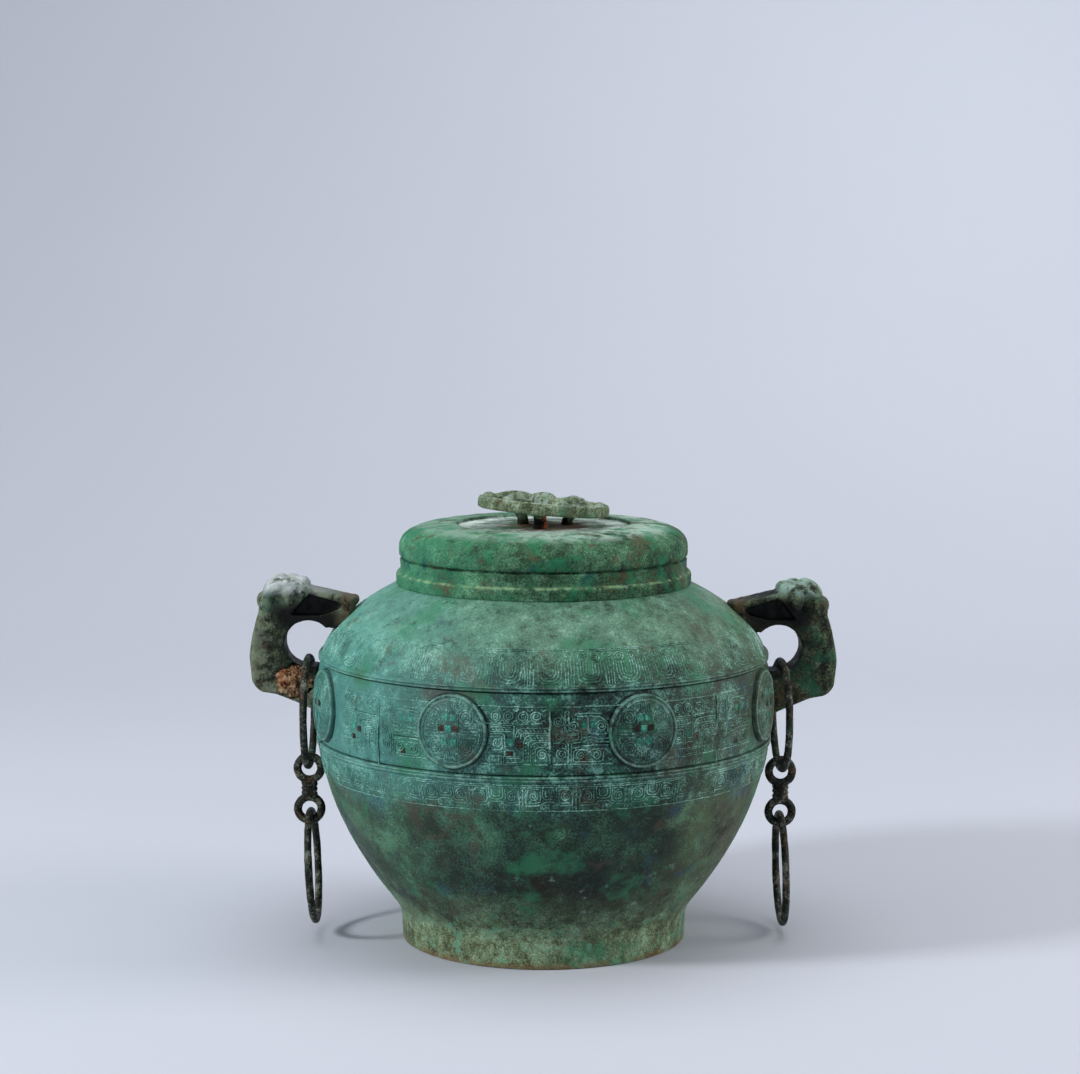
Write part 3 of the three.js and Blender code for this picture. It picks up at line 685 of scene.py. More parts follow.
def raise_on_dome(obj):
    """Lift flat lines onto the medallion's dome."""
    spots = vertices(obj)
    spots[:, 2] += np.interp(np.hypot(spots[:, 0], spots[:, 1]), dome_r, dome_h)
    move_vertices(obj, spots)


def lay_medallions(obj):
    """Lay a flat piece on the belly in the place of each medallion."""
    copies = []
    for i in range(PAIRS):
        choose(obj)
        bpy.ops.object.duplicate()
        copy = bpy.context.object
        lay_on_jar(copy, MEDALLION_LEVEL, out=-BAND_RECESS)
        turn = math.tau * (i + 0.5) / PAIRS + math.radians(MEDALLION_TURNS[i])
        copy.data.transform(Matrix.Rotation(turn, 4, "Z"))
        copies.append(copy)
    bpy.data.objects.remove(obj)
    return copies


for flat in (medallion_relief, medallion_green, medallion_brown):
    raise_on_dome(flat)
medallions = join("medallions", *lay_medallions(boss))
medallion_relief = join("medallion_relief", *lay_medallions(medallion_relief))
green_squares = join("green_squares", belly_green, *lay_medallions(medallion_green))
brown_squares = join("brown_squares", belly_brown, *lay_medallions(medallion_brown))
settle(medallions, 50)
report(medallions, medallion_relief, green_squares, brown_squares)

# %% [markdown]
# ### Seams of the mould
#
# Where two mould sections met, a thin fin of metal ran out. It was rubbed down, but the one at
# the front of the belly is still plain to see.

# %% Casting seams
SEAM_LOW, SEAM_HIGH = -50, 27


def seam_line(seed):
    """A wavering upright line in millimetres."""
    heights = np.linspace(SEAM_LOW, SEAM_HIGH, 60)
    sway = [0.9 * noise.noise(Vector((seed, y / 9, 0))) for y in heights]
    return np.column_stack([sway, heights])


seam_parts = []
for i in range(PAIRS):
    fin = ridges("seam", [seam_line(float(i))], 2.0 if i == 0 else 1.4)
    lay_on_jar(fin, BAND_LEVEL, out=-0.6 * MM, wear=3.0 * MM, seed=30.0 + i)
    fin.data.transform(Matrix.Rotation(math.tau * i / PAIRS, 4, "Z"))
    seam_parts.append(fin)
seams = join("casting_seams", *seam_parts)
report(seams)

# %% [markdown]
# ## The lid
#
# The lid is a deep cap with a rim band, a sharp groove and a swelling cushion whose top is sunk
# into a shallow round well. It is more corroded than the jar, so it gets a rougher crust.

# %% Spin the lid
LID_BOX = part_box("lid")
LID_RADIUS = 137 * MM
LID_WAIST = 133 * MM
LID_WALL = 4 * MM
LID_TOP = LID_BOX[1][2]
LID_LOW = LID_BOX[0][2]
LID_WELL_RADIUS = 80 * MM
LID_WELL_DEPTH = 3 * MM
CREST_RADIUS = 84 * MM
CUSHION_RADIUS = 134.2 * MM
CUSHION_DROP = 23.5 * MM
CUSHION_ROUND = 0.78


def cushion_points(out, count):
    """The lid's swelling top, from its widest place to the level crest."""
    points = []
    for angle in np.linspace(0, math.pi / 2, count):
        c, s = max(math.cos(angle), 0), math.sin(angle)
        r = CREST_RADIUS + (CUSHION_RADIUS - CREST_RADIUS) * c ** CUSHION_ROUND
        z = LID_TOP - CUSHION_DROP + CUSHION_DROP * s ** CUSHION_ROUND
        points.append((r - out * c, z - out * s))
    return points


def lid_outline():
    """The lid's section, from under its middle round the inside and the outside to the well."""
    rim_top = LID_LOW + 12.4 * MM
    groove = LID_TOP - 31 * MM
    well = LID_TOP - LID_WELL_DEPTH
    inside = [(0, well - LID_WALL), (LID_WELL_RADIUS, well - LID_WALL)]
    inside += cushion_points(LID_WALL, 14)[::-1][1:]
    inside += [(LID_WAIST - LID_WALL, groove), (LID_WAIST - LID_WALL, LID_LOW + 5 * MM),
               (LID_RADIUS - LID_WALL, LID_LOW + 3 * MM),
               (LID_RADIUS - LID_WALL + 0.5 * MM, LID_LOW + 1 * MM)]
    rim = [(LID_RADIUS - 1.5 * MM, LID_LOW), (LID_RADIUS - 0.3 * MM, LID_LOW + 0.8 * MM)]
    rim += [(LID_RADIUS, LID_LOW + t * MM) for t in (2.5, 5, 7.5, 9)]
    rim += [(LID_RADIUS - 0.6 * MM, rim_top - 1.6 * MM), (LID_RADIUS - 2 * MM, rim_top - 0.4 * MM),
            (LID_WAIST + 0.4 * MM, rim_top + 0.6 * MM)]
    waist = [(LID_WAIST - 0.2 * MM, rim_top + t * MM) for t in (1.5, 3.5, 6)]
    waist += [(LID_WAIST + 0.1 * MM, groove - 4 * MM), (LID_WAIST + 0.3 * MM, groove - 2 * MM),
              (LID_WAIST - 0.6 * MM, groove - 0.9 * MM), (LID_WAIST - 2 * MM, groove - 0.4 * MM),
              (LID_WAIST - 2 * MM, groove + 0.5 * MM), (LID_WAIST - 0.2 * MM, groove + 1 * MM),
              (LID_WAIST + 0.8 * MM, groove + 2.4 * MM), (LID_WAIST + 1.1 * MM, groove + 4.5 * MM)]
    top = cushion_points(0, 40)
    shelf = [(LID_WELL_RADIUS + 3 * MM, LID_TOP), (LID_WELL_RADIUS + 1.2 * MM, LID_TOP - 0.1 * MM),
             (LID_WELL_RADIUS + 0.2 * MM, LID_TOP - 0.8 * MM), (LID_WELL_RADIUS, well + 0.4 * MM),
             (LID_WELL_RADIUS - 0.8 * MM, well)]
    floor = [(LID_WELL_RADIUS * t, well) for t in np.linspace(0.97, 0, 22)]
    return inside + rim + waist + top + shelf + floor


lid = turned("lid_shell", lid_outline(), 300)
weather(lid, (22, 1.3), (4, 0.5))
settle(lid, 40)
report(lid)

# %% [markdown]
# ## The knob
#
# Six serpents coil outwards from a hub to a broad ring. The whole plate stands on three leaning
# posts and has sunk to the right. The plate is cut from a disc, the serpents are arched bodies
# laid over it, and a fine voxel remesh melts them into one casting.

# %% The knob's plate and its openings
KNOB_RADIUS = 62 * MM
KNOB_THICKNESS = 9.5 * MM
KNOB_FLARE = 2.5 * MM
KNOB_HEIGHT = LID_TOP + 10 * MM
KNOB_RIM = 13 * MM
KNOB_HUB = 17 * MM
KNOB_BAR = 9 * MM
KNOB_BARS = 6
KNOB_SWEEP = math.radians(33)
KNOB_TILT = (math.radians(-2.2), math.radians(4.9))


def body_turn(index, r):
    """Direction of a serpent's middle line at a radius of the plate."""
    share = min(max((r - KNOB_HUB) / (KNOB_RADIUS - KNOB_RIM - KNOB_HUB), 0), 1)
    return index * math.tau / KNOB_BARS + KNOB_SWEEP * math.sin(share * math.pi / 2)


def flat_shape(name, outline, thickness, bevel=0.0):
    """A closed outline in the XY plane made into a plate around z = 0 with rounded edges."""
    curve = line_curve(name, "2D")
    curve.fill_mode = "BOTH"
    add_line(curve, outline).use_cyclic_u = True
    curve.extrude = thickness / 2 - bevel
    curve.bevel_depth = bevel
    curve.bevel_resolution = 2
    curve.offset = -bevel
    obj = meshed(name, curve)
    bpy.ops.object.mode_set(mode="EDIT")
    close_seams()
    return obj


def cut(obj, cutter, overlapping=False):
    """Cut one closed shape out of another, which may be made of shapes that run through each other."""
    modify(obj, "BOOLEAN", operation="DIFFERENCE", object=cutter, solver="EXACT", use_self=overlapping)
    bpy.data.objects.remove(cutter)
    return obj


def knob_opening(index):
    """The curved gap between two serpents."""
    outer = KNOB_RADIUS - KNOB_RIM
    radii = np.linspace(KNOB_HUB, outer, 8)
    first = [(r, body_turn(index, r) + KNOB_BAR / 2 / r) for r in radii]
    second = [(r, body_turn(index + 1, r) - KNOB_BAR / 2 / r) for r in radii[::-1]]
    rim = [(outer, a) for a in np.linspace(first[-1][1], second[0][1], 7)[1:-1]]
    spots = first + rim + second
    return [(r * math.cos(a), r * math.sin(a)) for r, a in spots]


def tube(name, points, radii):
    """A round body along points, with a radius at each of them."""
    curve = line_curve(name)
    spline = add_line(curve, points)
    for point, radius in zip(spline.points, radii):
        point.radius = radius
    curve.bevel_depth = 1
    curve.bevel_resolution = 4
    curve.use_fill_caps = True
    return meshed(name, curve)


def knob_serpent(index):
    """One arched body from the hub to the rim, with a coiled head on the ring."""
    points, radii = [], []
    for t in np.linspace(0, 1, 22):
        r = KNOB_HUB * 0.4 + (KNOB_RADIUS - 8 * MM - KNOB_HUB * 0.4) * t
        angle = body_turn(index, r) + 0.25 * t * t
        lift = KNOB_THICKNESS / 2 - 1.5 * MM + (4.2 * MM) * math.sin(math.pi * t) ** 2
        points.append((r * math.cos(angle), r * math.sin(angle), lift))
        radii.append((3.2 + 1.4 * math.sin(math.pi * t)) * MM)
    body = tube("serpent", points, radii)
    end = points[-1]
    head = add(bpy.ops.mesh.primitive_uv_sphere_add, "head", segments=20, ring_count=12, radius=5.4 * MM,
               location=(end[0] * 0.97, end[1] * 0.97, KNOB_THICKNESS / 2 + 0.3 * MM))
    head.scale = (1.25, 0.95, 0.75)
    head.rotation_euler.z = math.atan2(end[1], end[0]) + 0.9
    return [body, head]


# %% [markdown]
# The openings are cut out of the plate, and two thin rings mark its rim. Plate, serpents and
# rings are then one heap of closed shapes that run through each other. A voxel remesh wraps a
# single skin round all of them, which gives the soft corners of a casting.

# %% Melt the knob together
KNOB_VOXEL = 0.75 * MM

disc_edge = KNOB_RADIUS - KNOB_FLARE * 0.3
disc = add(bpy.ops.mesh.primitive_cylinder_add, "plate", vertices=96, radius=disc_edge, depth=KNOB_THICKNESS)
modify(disc, "BEVEL", width=KNOB_FLARE, segments=3)
for i in range(KNOB_BARS):
    cut(disc, flat_shape("opening", knob_opening(i), 3 * KNOB_THICKNESS))
knob_parts = [part for i in range(KNOB_BARS) for part in knob_serpent(i)]
for r in (KNOB_RADIUS - 2.8 * MM, KNOB_RADIUS - KNOB_RIM + 1.5 * MM):
    knob_parts.append(add(bpy.ops.mesh.primitive_torus_add, "ring", major_radius=r, minor_radius=1.3 * MM,
                          major_segments=96, minor_segments=8, location=(0, 0, KNOB_THICKNESS / 2)))
knob_plate = join("knob_plate", *knob_parts, disc)
knob_plate.data.transform(Matrix.Rotation(KNOB_TILT[1], 4, "Y") @ Matrix.Rotation(KNOB_TILT[0], 4, "X"))
knob_plate.data.transform(Matrix.Translation((0, 0, KNOB_HEIGHT + KNOB_THICKNESS / 2)))

# %% Posts under the knob
POST_CIRCLE = 24 * MM
POST_SPREAD = 0.32
POST_GIRTH = (1.2, 1.2, 1.5)


def knob_post(index):
    """One leaning post under a serpent, with a swollen foot and knee."""
    turn = body_turn(2 * index, POST_CIRCLE * (1 + POST_SPREAD))
    x, y = POST_CIRCLE * math.cos(turn), POST_CIRCLE * math.sin(turn)
    foot = LID_TOP - LID_WELL_DEPTH + 0.3 * MM
    top = KNOB_HEIGHT + 3 * MM - x * math.tan(KNOB_TILT[1]) + y * math.tan(KNOB_TILT[0])
    points, radii = [], []
    for t in np.linspace(0, 1, 9):
        out = 1 + POST_SPREAD * max(t - 0.3, 0) / 0.7
        points.append((x * out, y * out, foot + (top - foot) * t))
        radii.append((4.7 - 0.8 * math.sin(math.pi * t) + 0.5 * abs(t - 0.5)) * POST_GIRTH[index] * MM)
    return tube("post", points, radii)


knob = join("knob", *[knob_post(i) for i in range(3)], knob_plate)
modify(knob, "REMESH", mode="VOXEL", voxel_size=KNOB_VOXEL)
modify(knob, "SMOOTH", factor=0.5, iterations=2)
weather(knob, (9, 0.6), (2.5, 0.4))
settle(knob, 180)
report(knob)

# %% [markdown]
# ## The handles
#
# Each handle is a thick C-shaped bar with a round finger hole, bitten by a beast's head whose
# cheeks hang over the sides. The bar is an outline given thickness, the head is built up from
# rounded lumps, the hollows are cut, and a voxel remesh melts all of it together. On the left
# handle the skin of the lower leg is broken away and the clay core shows.

# %% The bar's outline
FINGER_X = 218.3 * MM
FINGER_Z = 276 * MM
FINGER_RADIUS = 21.5
HANDLE_LIFT = 3 * MM
TRIM_ALLOWANCE = 0.4 * MM
HANDLE_WIDTH = 36 * MM
HEAD_WIDTH = 46 * MM
HANDLE_VOXEL = 1.0 * MM


def bend(start, corner, end, count=8):
    """A curve from start to end that is pulled towards a corner."""
    start, corner, end = (np.array(p) for p in (start, corner, end))
    return [tuple((1 - t) ** 2 * start + 2 * t * (1 - t) * corner + t * t * end)
            for t in np.linspace(0, 1, count)]


def from_finger(points):
    """Places given in millimetres from the finger hole's middle."""
    return [(FINGER_X + x * MM, FINGER_Z + z * MM) for x, z in points]


def bar_outline():
    """The C-shaped bar from the shoulder out and back to the belly."""
    hole = [(FINGER_RADIUS * math.cos(a), FINGER_RADIUS * math.sin(a))
            for a in np.linspace(-math.pi / 2, 0.75 * math.pi, 26)]
    return from_finger([(-43, 42), (0, 52), (38, 52)]
                       + bend((38, 52), (50.5, 21.5), (54.6, -11))
                       + [(52.6, -34)]
                       + bend((52.6, -34), (48, -46.2), (38, -46))
                       + [(29, -48), (-21.5, -69), (-21.5, -21.5)]
                       + hole + [(-43, 10.7)])


def head_outline():
    """The beast's head from the side."""
    return from_finger([(0, 44), (0, 52)] + bend((0, 52.5), (4, 60.5), (18, 60.5), 6)
                       + bend((22, 60.5), (36, 60.5), (41.3, 47.5), 8)
                       + [(46, 32), (35, 34.5), (30.5, 44)])


def pocket_outline():
    """The hollow in the side of the upper bar."""
    return from_finger([(0, 47), (16, 26.5), (-10.7, 26.5), (-28.3, 31.5), (-33.3, 37)])


# %% [markdown]
# The jar isn't quite true, and its handles sit at two heights. Both are built in the right-hand
# place and the left one is turned round afterwards. The bar's ends have to fit the wall, so the
# jar's own outline is spun once more and cut away from them. The handle is still a heap of
# shapes at that point, and the cut is told so; otherwise it can leave an end uncut.

# %% Building one handle in the right-hand place
def upright(obj, y=0.0):
    """Turn a plate from the XY plane to the XZ plane and set its middle at a place along Y."""
    obj.rotation_euler.x = math.pi / 2
    obj.location.y = y
    return settle(obj)


def lump(centre, size, turn=0.0):
    """A rounded lump at a place given from the finger hole in millimetres, with its half sizes."""
    spot = (FINGER_X + centre[0] * MM, centre[1] * MM, FINGER_Z + centre[2] * MM)
    obj = add(bpy.ops.mesh.primitive_uv_sphere_add, "lump", segments=24, ring_count=16, radius=MM,
              location=spot)
    obj.scale = size
    obj.rotation_euler.y = turn
    return obj


def hole_rim(y):
    """The thin raised rim that runs along the finger hole."""
    points = [(FINGER_X + 23.6 * MM * math.cos(a), y, FINGER_Z + 23.6 * MM * math.sin(a))
              for a in np.linspace(-math.pi / 2, 0.78 * math.pi, 30)]
    return tube("rim", points, [1.7 * MM] * 30)


def jar_cutter():
    """The jar's outside, to trim the bar's ends; smoothing takes back what they are left too long."""
    outline = [(0, 150 * MM)] + wall_points(150 * MM, 335 * MM, -TRIM_ALLOWANCE, 6 * MM) + [(0, 335 * MM)]
    return turned("trim", outline, 96)


def handle_body(side):
    """A finished handle; side is 1 for the right one and -1 for the left one."""
    bar = upright(flat_shape("bar", bar_outline(), HANDLE_WIDTH, 4.5 * MM))
    for y in (-1, 1):
        pocket = upright(flat_shape("pocket", pocket_outline(), 18 * MM), y * (HANDLE_WIDTH / 2 + 1 * MM))
        cut(bar, pocket)
        flange = [(x, z + 3.2) for x, z in ((42, -46), (29, -47.5), (-5, -62))]
        points = [(FINGER_X + x * MM, y * 16.2 * MM, FINGER_Z + z * MM) for x, z in flange]
        bar = join("bar", tube("flange", points, [2.6 * MM] * 3), hole_rim(y * 16.6 * MM), bar)
    head = upright(flat_shape("head", head_outline(), HEAD_WIDTH, 5 * MM))
    lumps = [lump((7, 0, 55), (9, 17, 6.5)), lump((2.5, 9, 50), (5, 6, 5)), lump((2.5, -9, 50), (5, 6, 5)),
             lump((31, 0, 54), (13, 19, 7), 0.7), lump((41, 0, 38), (7, 20, 9), 0.25)]
    for y in (-1, 1):
        lumps += [lump((16, y * 22.5, 47), (7.2, 3.4, 7)), lump((16, y * 22.6, 41), (4.6, 2.6, 6)),
                  lump((16, y * 13, 59), (6.5, 4.5, 3.4)), lump((5, y * 21, 47.5), (4.5, 3.6, 4.5)),
                  lump((28, y * 20.5, 52), (10, 4, 3.6), 0.5), lump((38, y * 21.5, 38), (5, 3.6, 8), 0.3)]
    lumps += [lump((-38, 0, 37), (10, 16, 6), 0.5), lump((-30, 8, 41), (7, 8, 4), 0.3)]
    whole = join("handle", *lumps, head, bar)
    whole.data.transform(Matrix.Translation((0, 0, -side * HANDLE_LIFT)))
    cut(whole, jar_cutter(), overlapping=True)
    return whole


def finish_casting(obj, voxel):
    """Melt the joined parts into one skin and give it a corroded surface."""
    modify(obj, "REMESH", mode="VOXEL", voxel_size=voxel)
    modify(obj, "SMOOTH", factor=0.5, iterations=9)
    weather(obj, (14, 1.3), (3, 0.5))
    return settle(obj, 180)


handle_right = handle_body(1)
handle_right.name = "handle_right_casting"
handle_left = handle_body(-1)
handle_left.name = "handle_left_casting"

# %% [markdown]
# ### The broken leg and its clay core
#
# The handles were cast over a core of sandy clay. The break is cut into the left handle before
# it is turned to its own side, and a crumbly lump of clay fills it.

# %% Break and clay
def rough_lump(name, centre, size, amount, seed, detail=5):
    """A crumbly lump: a sphere pushed in and out by noise, placed as the handle's lumps are."""
    spot = (FINGER_X + centre[0] * MM, centre[1] * MM, FINGER_Z + HANDLE_LIFT + centre[2] * MM)
    obj = add(bpy.ops.mesh.primitive_ico_sphere_add, name, subdivisions=detail, radius=MM, location=spot)
    obj.scale = size
    settle(obj)
    spots = vertices(obj)
    middle = np.array(spot)
    pushes = [1 + amount * noise.fractal(Vector(p * 90 + seed), 0.6, 2, 4) for p in spots]
    move_vertices(obj, middle + (spots - middle) * np.array(pushes)[:, None])
    return obj


BREAK_SIDE = 17.5
cut(handle_left, rough_lump("break", (14, BREAK_SIDE, -35), (17, 4.6, 15), 0.5, 3.0, 4))
clay = rough_lump("clay_core", (13, BREAK_SIDE - 1.6, -35), (16.5, 4.2, 14.5), 0.35, 9.0, 6)
for obj in (handle_left, handle_right):
    finish_casting(obj, HANDLE_VOXEL)
weather(clay, (3, 1.6))
for obj in (handle_left, clay):
    obj.data.transform(Matrix.Rotation(math.pi, 4, "Z"))
settle(clay, 180)
report(handle_left, handle_right, clay)

# %% [markdown]
# ## The chains
#
# A ring hangs on each handle's lower bar, a link with two eyes hangs in the ring, and a second
# ring hangs in the link. The rings are bent from thick wire and hammered shut. Each one takes its
# size and place from its solid in the frame.

# %% Rings and links
RING_WIRE = 7 * MM
EYE_WIRE = 7.8 * MM
EYE_GROWTH = 0.9 * MM
EYE_LIFT = 1.5 * MM
EYE_DROP = 0.5 * MM
UPPER_RING_SHORTER = 2.4 * MM
LOWER_RING_SHORTER = 1.4 * MM
RING_TURNS = {"upper_ring_left": (-2.5, 0), "upper_ring_right": (2.5, 0),
              "lower_ring_left": (-1.2, -3.0), "lower_ring_right": (-0.8, -1.2)}


def chain_ring(node):
    """A thick wire ring in the YZ plane, uneven from hammering."""
    low, high = (np.array(v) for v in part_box(node))
    middle = (low + high) / 2
    outside = (high[1] - low[1]) / 2
    ring = add(bpy.ops.mesh.primitive_torus_add, node + "_wire", major_segments=150, minor_segments=22,
               major_radius=outside + 0.7 * MM - RING_WIRE / 2, minor_radius=RING_WIRE / 2,
               location=middle, rotation=(0, math.pi / 2, 0))
    settle(ring)
    turn, lean = RING_TURNS[node]
    top = Vector((middle[0], middle[1], high[2]))
    swing = Matrix.Rotation(math.radians(lean), 4, "Y") @ Matrix.Rotation(math.radians(turn), 4, "Z")
    ring.data.transform(Matrix.Translation(top) @ swing @ Matrix.Translation(-top))
    # Each ring is hammered a little shorter than wide, until it bears on the eye that it runs through.
    still, shorter = (low[2], LOWER_RING_SHORTER)
    if node.startswith("upper"):
        still, shorter = (high[2], UPPER_RING_SHORTER)
    squeeze = Matrix.Diagonal((1, 1, 1 - shorter / (high[2] - low[2]), 1))
    ring.data.transform(Matrix.Translation((0, 0, still)) @ squeeze @ Matrix.Translation((0, 0, -still)))
    weather(ring, (16, 1.0), (3, 0.5))
    return settle(ring, 180)


def link_eye(x, z, radius):
    """One eye of a link, in the XZ plane."""
    return add(bpy.ops.mesh.primitive_torus_add, "eye", major_segments=48, minor_segments=20,
               major_radius=radius, minor_radius=EYE_WIRE / 2, location=(x, 0, z),
               rotation=(math.pi / 2, 0, 0))


def eye_link(node):
    """Two eyes and the wrapped waist between them, melted into one."""
    low, high = (np.array(v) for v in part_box(node))
    x = (low[0] + high[0]) / 2
    outside = (high[0] - low[0]) / 2
    radius = outside - EYE_WIRE / 2 + EYE_GROWTH
    upper, lower = high[2] - outside + EYE_LIFT, low[2] + outside - EYE_DROP
    middle = (upper + lower) / 2
    waist = add(bpy.ops.mesh.primitive_cylinder_add, "waist", vertices=24, radius=4.6 * MM, depth=14 * MM,
                location=(x, 0, middle))
    wraps = [add(bpy.ops.mesh.primitive_torus_add, "wrap", major_segments=32, minor_segments=12,
                 major_radius=5.6 * MM, minor_radius=2.2 * MM, location=(x, 0, middle + dz * MM),
                 rotation=(0.03 * dz, 0.1, 0)) for dz in (-4.6, 0, 4.6)]
    link = join(node + "_casting", *wraps, waist, link_eye(x, upper, radius), link_eye(x, lower, radius))
    modify(link, "REMESH", mode="VOXEL", voxel_size=0.6 * MM)
    modify(link, "SMOOTH", factor=0.5, iterations=3)
    weather(link, (5, 0.8))
    return settle(link, 180)


chain = {}
for side in ("left", "right"):
    for node in (f"upper_ring_{side}", f"lower_ring_{side}"):
        chain[node] = chain_ring(node)
    chain[f"eye_link_{side}"] = eye_link(f"eye_link_{side}")
report(*chain.values())

# %% [markdown]
# ## Materials
#
# Bronze that has lain in the ground is never one colour. Copper salts grow in layers: brown
# cuprite at the bottom, then malachite greens, pale crusts and spots of blue azurite, with earth
# in every hollow. So each finish is a stack of colours, and every layer covers the one below
# where its own noise is high. The shader maths is written as Python sums.

# %% Shader maths
class Field:
    """A socket that can be used in sums: each operator adds its Math node."""

    def __init__(self, finish, socket):
        self.finish = finish
        self.socket = socket

    def with_other(self, operation, first, second):
        return self.finish.node("ShaderNodeMath", {"operation": operation}, {0: first, 1: second})["Value"]

    def __add__(self, other):
        return self.with_other("ADD", self, other)

    def __sub__(self, other):
        return self.with_other("SUBTRACT", self, other)

    def __mul__(self, other):
        return self.with_other("MULTIPLY", self, other)

    def __radd__(self, other):
        return self.with_other("ADD", other, self)

    def __rsub__(self, other):
        return self.with_other("SUBTRACT", other, self)

    def __rmul__(self, other):
        return self.with_other("MULTIPLY", other, self)

    def larger(self, other):
        return self.with_other("MAXIMUM", self, other)

    def alone(self, operation):
        """What an operation makes of this socket by itself, such as its square root."""
        return self.finish.node("ShaderNodeMath", {"operation": operation}, {0: self})["Value"]

    def between(self, low, high):
        """0 below low, 1 above high and a smooth ramp from one to the other."""
        settings = {"interpolation_type": "SMOOTHSTEP"}
        return self.finish.node("ShaderNodeMapRange", settings, {0: self, 1: low, 2: high})["Result"]


class Finish:
    """One material, built from nodes."""

    def __init__(self, name, seed=0.0):
        self.material = bpy.data.materials.new(name)
        self.material.use_nodes = True
        self.tree = self.material.node_tree
        self.tree.nodes.clear()
        self.seed = seed
        self.shader = self.tree.nodes.new("ShaderNodeBsdfPrincipled")
        output = self.tree.nodes.new("ShaderNodeOutputMaterial")
        self.tree.links.new(self.shader.outputs[0], output.inputs[0])
        self.place = self.node("ShaderNodeTexCoord", {}, {})["Object"]
        axes = self.node("ShaderNodeSeparateXYZ", {}, {0: self.place})
        self.x, self.y, self.z = axes["X"], axes["Y"], axes["Z"]

    def node(self, kind, settings, sockets):
        """Add a node, set it, fill its sockets with values or links, and return its outputs by name."""
        node = self.tree.nodes.new(kind)
        for key, value in settings.items():
            setattr(node, key, value)
        for key, value in sockets.items():
            if isinstance(value, Field):
                self.tree.links.new(value.socket, node.inputs[key])
            else:
                node.inputs[key].default_value = value
        return {output.name: Field(self, output) for output in node.outputs if output.enabled}

    def grain(self, size, detail=4.0, roughness=0.6, shift=0.0, stretch=(1, 1, 1)):
        """Noise whose lumps are about as large as size, in metres."""
        moved = {"Location": (shift + self.seed, shift * 1.7, self.seed * 0.6), "Scale": stretch}
        place = self.node("ShaderNodeMapping", {}, {"Vector": self.place, **moved})["Vector"]
        sockets = {"Vector": place, "Scale": 1 / size, "Detail": detail, "Roughness": roughness}
        return self.node("ShaderNodeTexNoise", {}, sockets)["Fac"]

    def mix(self, share, below, above):
        """Colour above laid over colour below where share is 1."""
        sockets = {0: share, 6: below, 7: above}
        return self.node("ShaderNodeMix", {"data_type": "RGBA"}, sockets)["Result"]

    def done(self, colour, rough, bump):
        """Connect what changes over the surface and return the material."""
        links = self.tree.links
        links.new(colour.socket, self.shader.inputs["Base Color"])
        links.new(rough.socket, self.shader.inputs["Roughness"])
        links.new(bump.socket, self.shader.inputs["Normal"])
        return self.material


def srgb(red, green, blue):
    """A colour as the eye's scale of 0 to 255 gives it, made linear for the shader, and opaque."""
    channels = (c / 255 for c in (red, green, blue))
    return (*(c / 12.92 if c <= 0.04045 else ((c + 0.055) / 1.055) ** 2.4 for c in channels), 1.0)


def tones(*colours):
    """Several colours, from the darkest to the lightest."""
    return [srgb(*colour) for colour in colours]


# %% [markdown]
# ### The patina
#
# The main tones lie in one ramp that is read through a sum of noises: broad clouds, a mottle
# and a fine grain. Layers with a colour, a grain size and a level then cover parts of it, and a
# bump of three grain sizes makes the skin rough. Crusts add to the bump, and the roughness
# follows the mottle.

# %% The patina recipe
@dataclass
class Layer:
    """One corrosion product: its colour, the size of its spots, and how much of the skin it takes."""
    colour: tuple
    size: float
    level: float
    soft: float = 0.08
    amount: float = 1.0
    shift: float = 1.0
    stretch: tuple = (1, 1, 1)
    where: object = None
    crust: bool = False


def palette(finish, tone, shades, contrast):
    """A colour from the darkest to the lightest tone, as the noise runs from low to high."""
    steps = np.linspace(0.5 - contrast / 2, 0.5 + contrast / 2, len(shades))
    colour = finish.mix(tone.between(steps[0], steps[1]), shades[0], shades[1])
    for low, high, shade in zip(steps[1:], steps[2:], shades[2:]):
        colour = finish.mix(tone.between(low, high), colour, shade)
    return colour


def cover(finish, colour, layer, number):
    """Lay one more colour over the skin where its own noise is high."""
    field = finish.grain(layer.size, 9, 0.68, shift=layer.shift + number, stretch=layer.stretch)
    share = field.between(layer.level, layer.level + layer.soft) * layer.amount
    if layer.where:
        share = share * layer.where(finish)
    return finish.mix(share, colour, layer.colour), share


def patina(name, shades, layers, seed=0.0, zones=None, marks=None, rough=(0.5, 0.85), bump=0.35,
           contrast=0.16, clouds=0.030, shine=0.2):
    """A corroded skin: shades from the darkest to the lightest, with layers of other colours over them."""
    finish = Finish(name, seed)
    finish.shader.inputs["Specular IOR Level"].default_value = shine
    cloud = finish.grain(clouds, 10, 0.68)
    mottle = finish.grain(0.008, 6, 0.66, shift=3.1)
    fine = finish.grain(0.0017, 3, 0.6, shift=5.7)
    tone = cloud * 0.48 + mottle * 0.30 + (fine - 0.5) * 0.35 + 0.11
    colour = palette(finish, tone, shades, contrast)
    if zones:
        colour = zones(finish, colour, tone, fine)
    height = mottle * 0.45 + fine * 0.35 + finish.grain(0.0009, 2, 0.6, shift=7.7) * 0.2
    for number, layer in enumerate(layers):
        colour, share = cover(finish, colour, layer, number)
        if layer.crust:
            height = height + share * 0.3
    if marks:
        colour = marks(finish, colour, mottle)
    sockets = {"Strength": bump, "Distance": 0.0022, "Height": height}
    skin = finish.node("ShaderNodeBump", {}, sockets)["Normal"]
    dull = rough[0] + (rough[1] - rough[0]) * mottle.between(0.38, 0.62)
    print(f"{name}: {len(shades)} tones, {len(layers)} layers, {len(finish.tree.nodes)} nodes")
    return finish.done(colour, dull, skin)


def stripe(field, low, high, soft):
    """A mask that is 1 from low to high, with soft edges."""
    return field.between(low - soft, low + soft) * (1 - field.between(high - soft, high + soft))
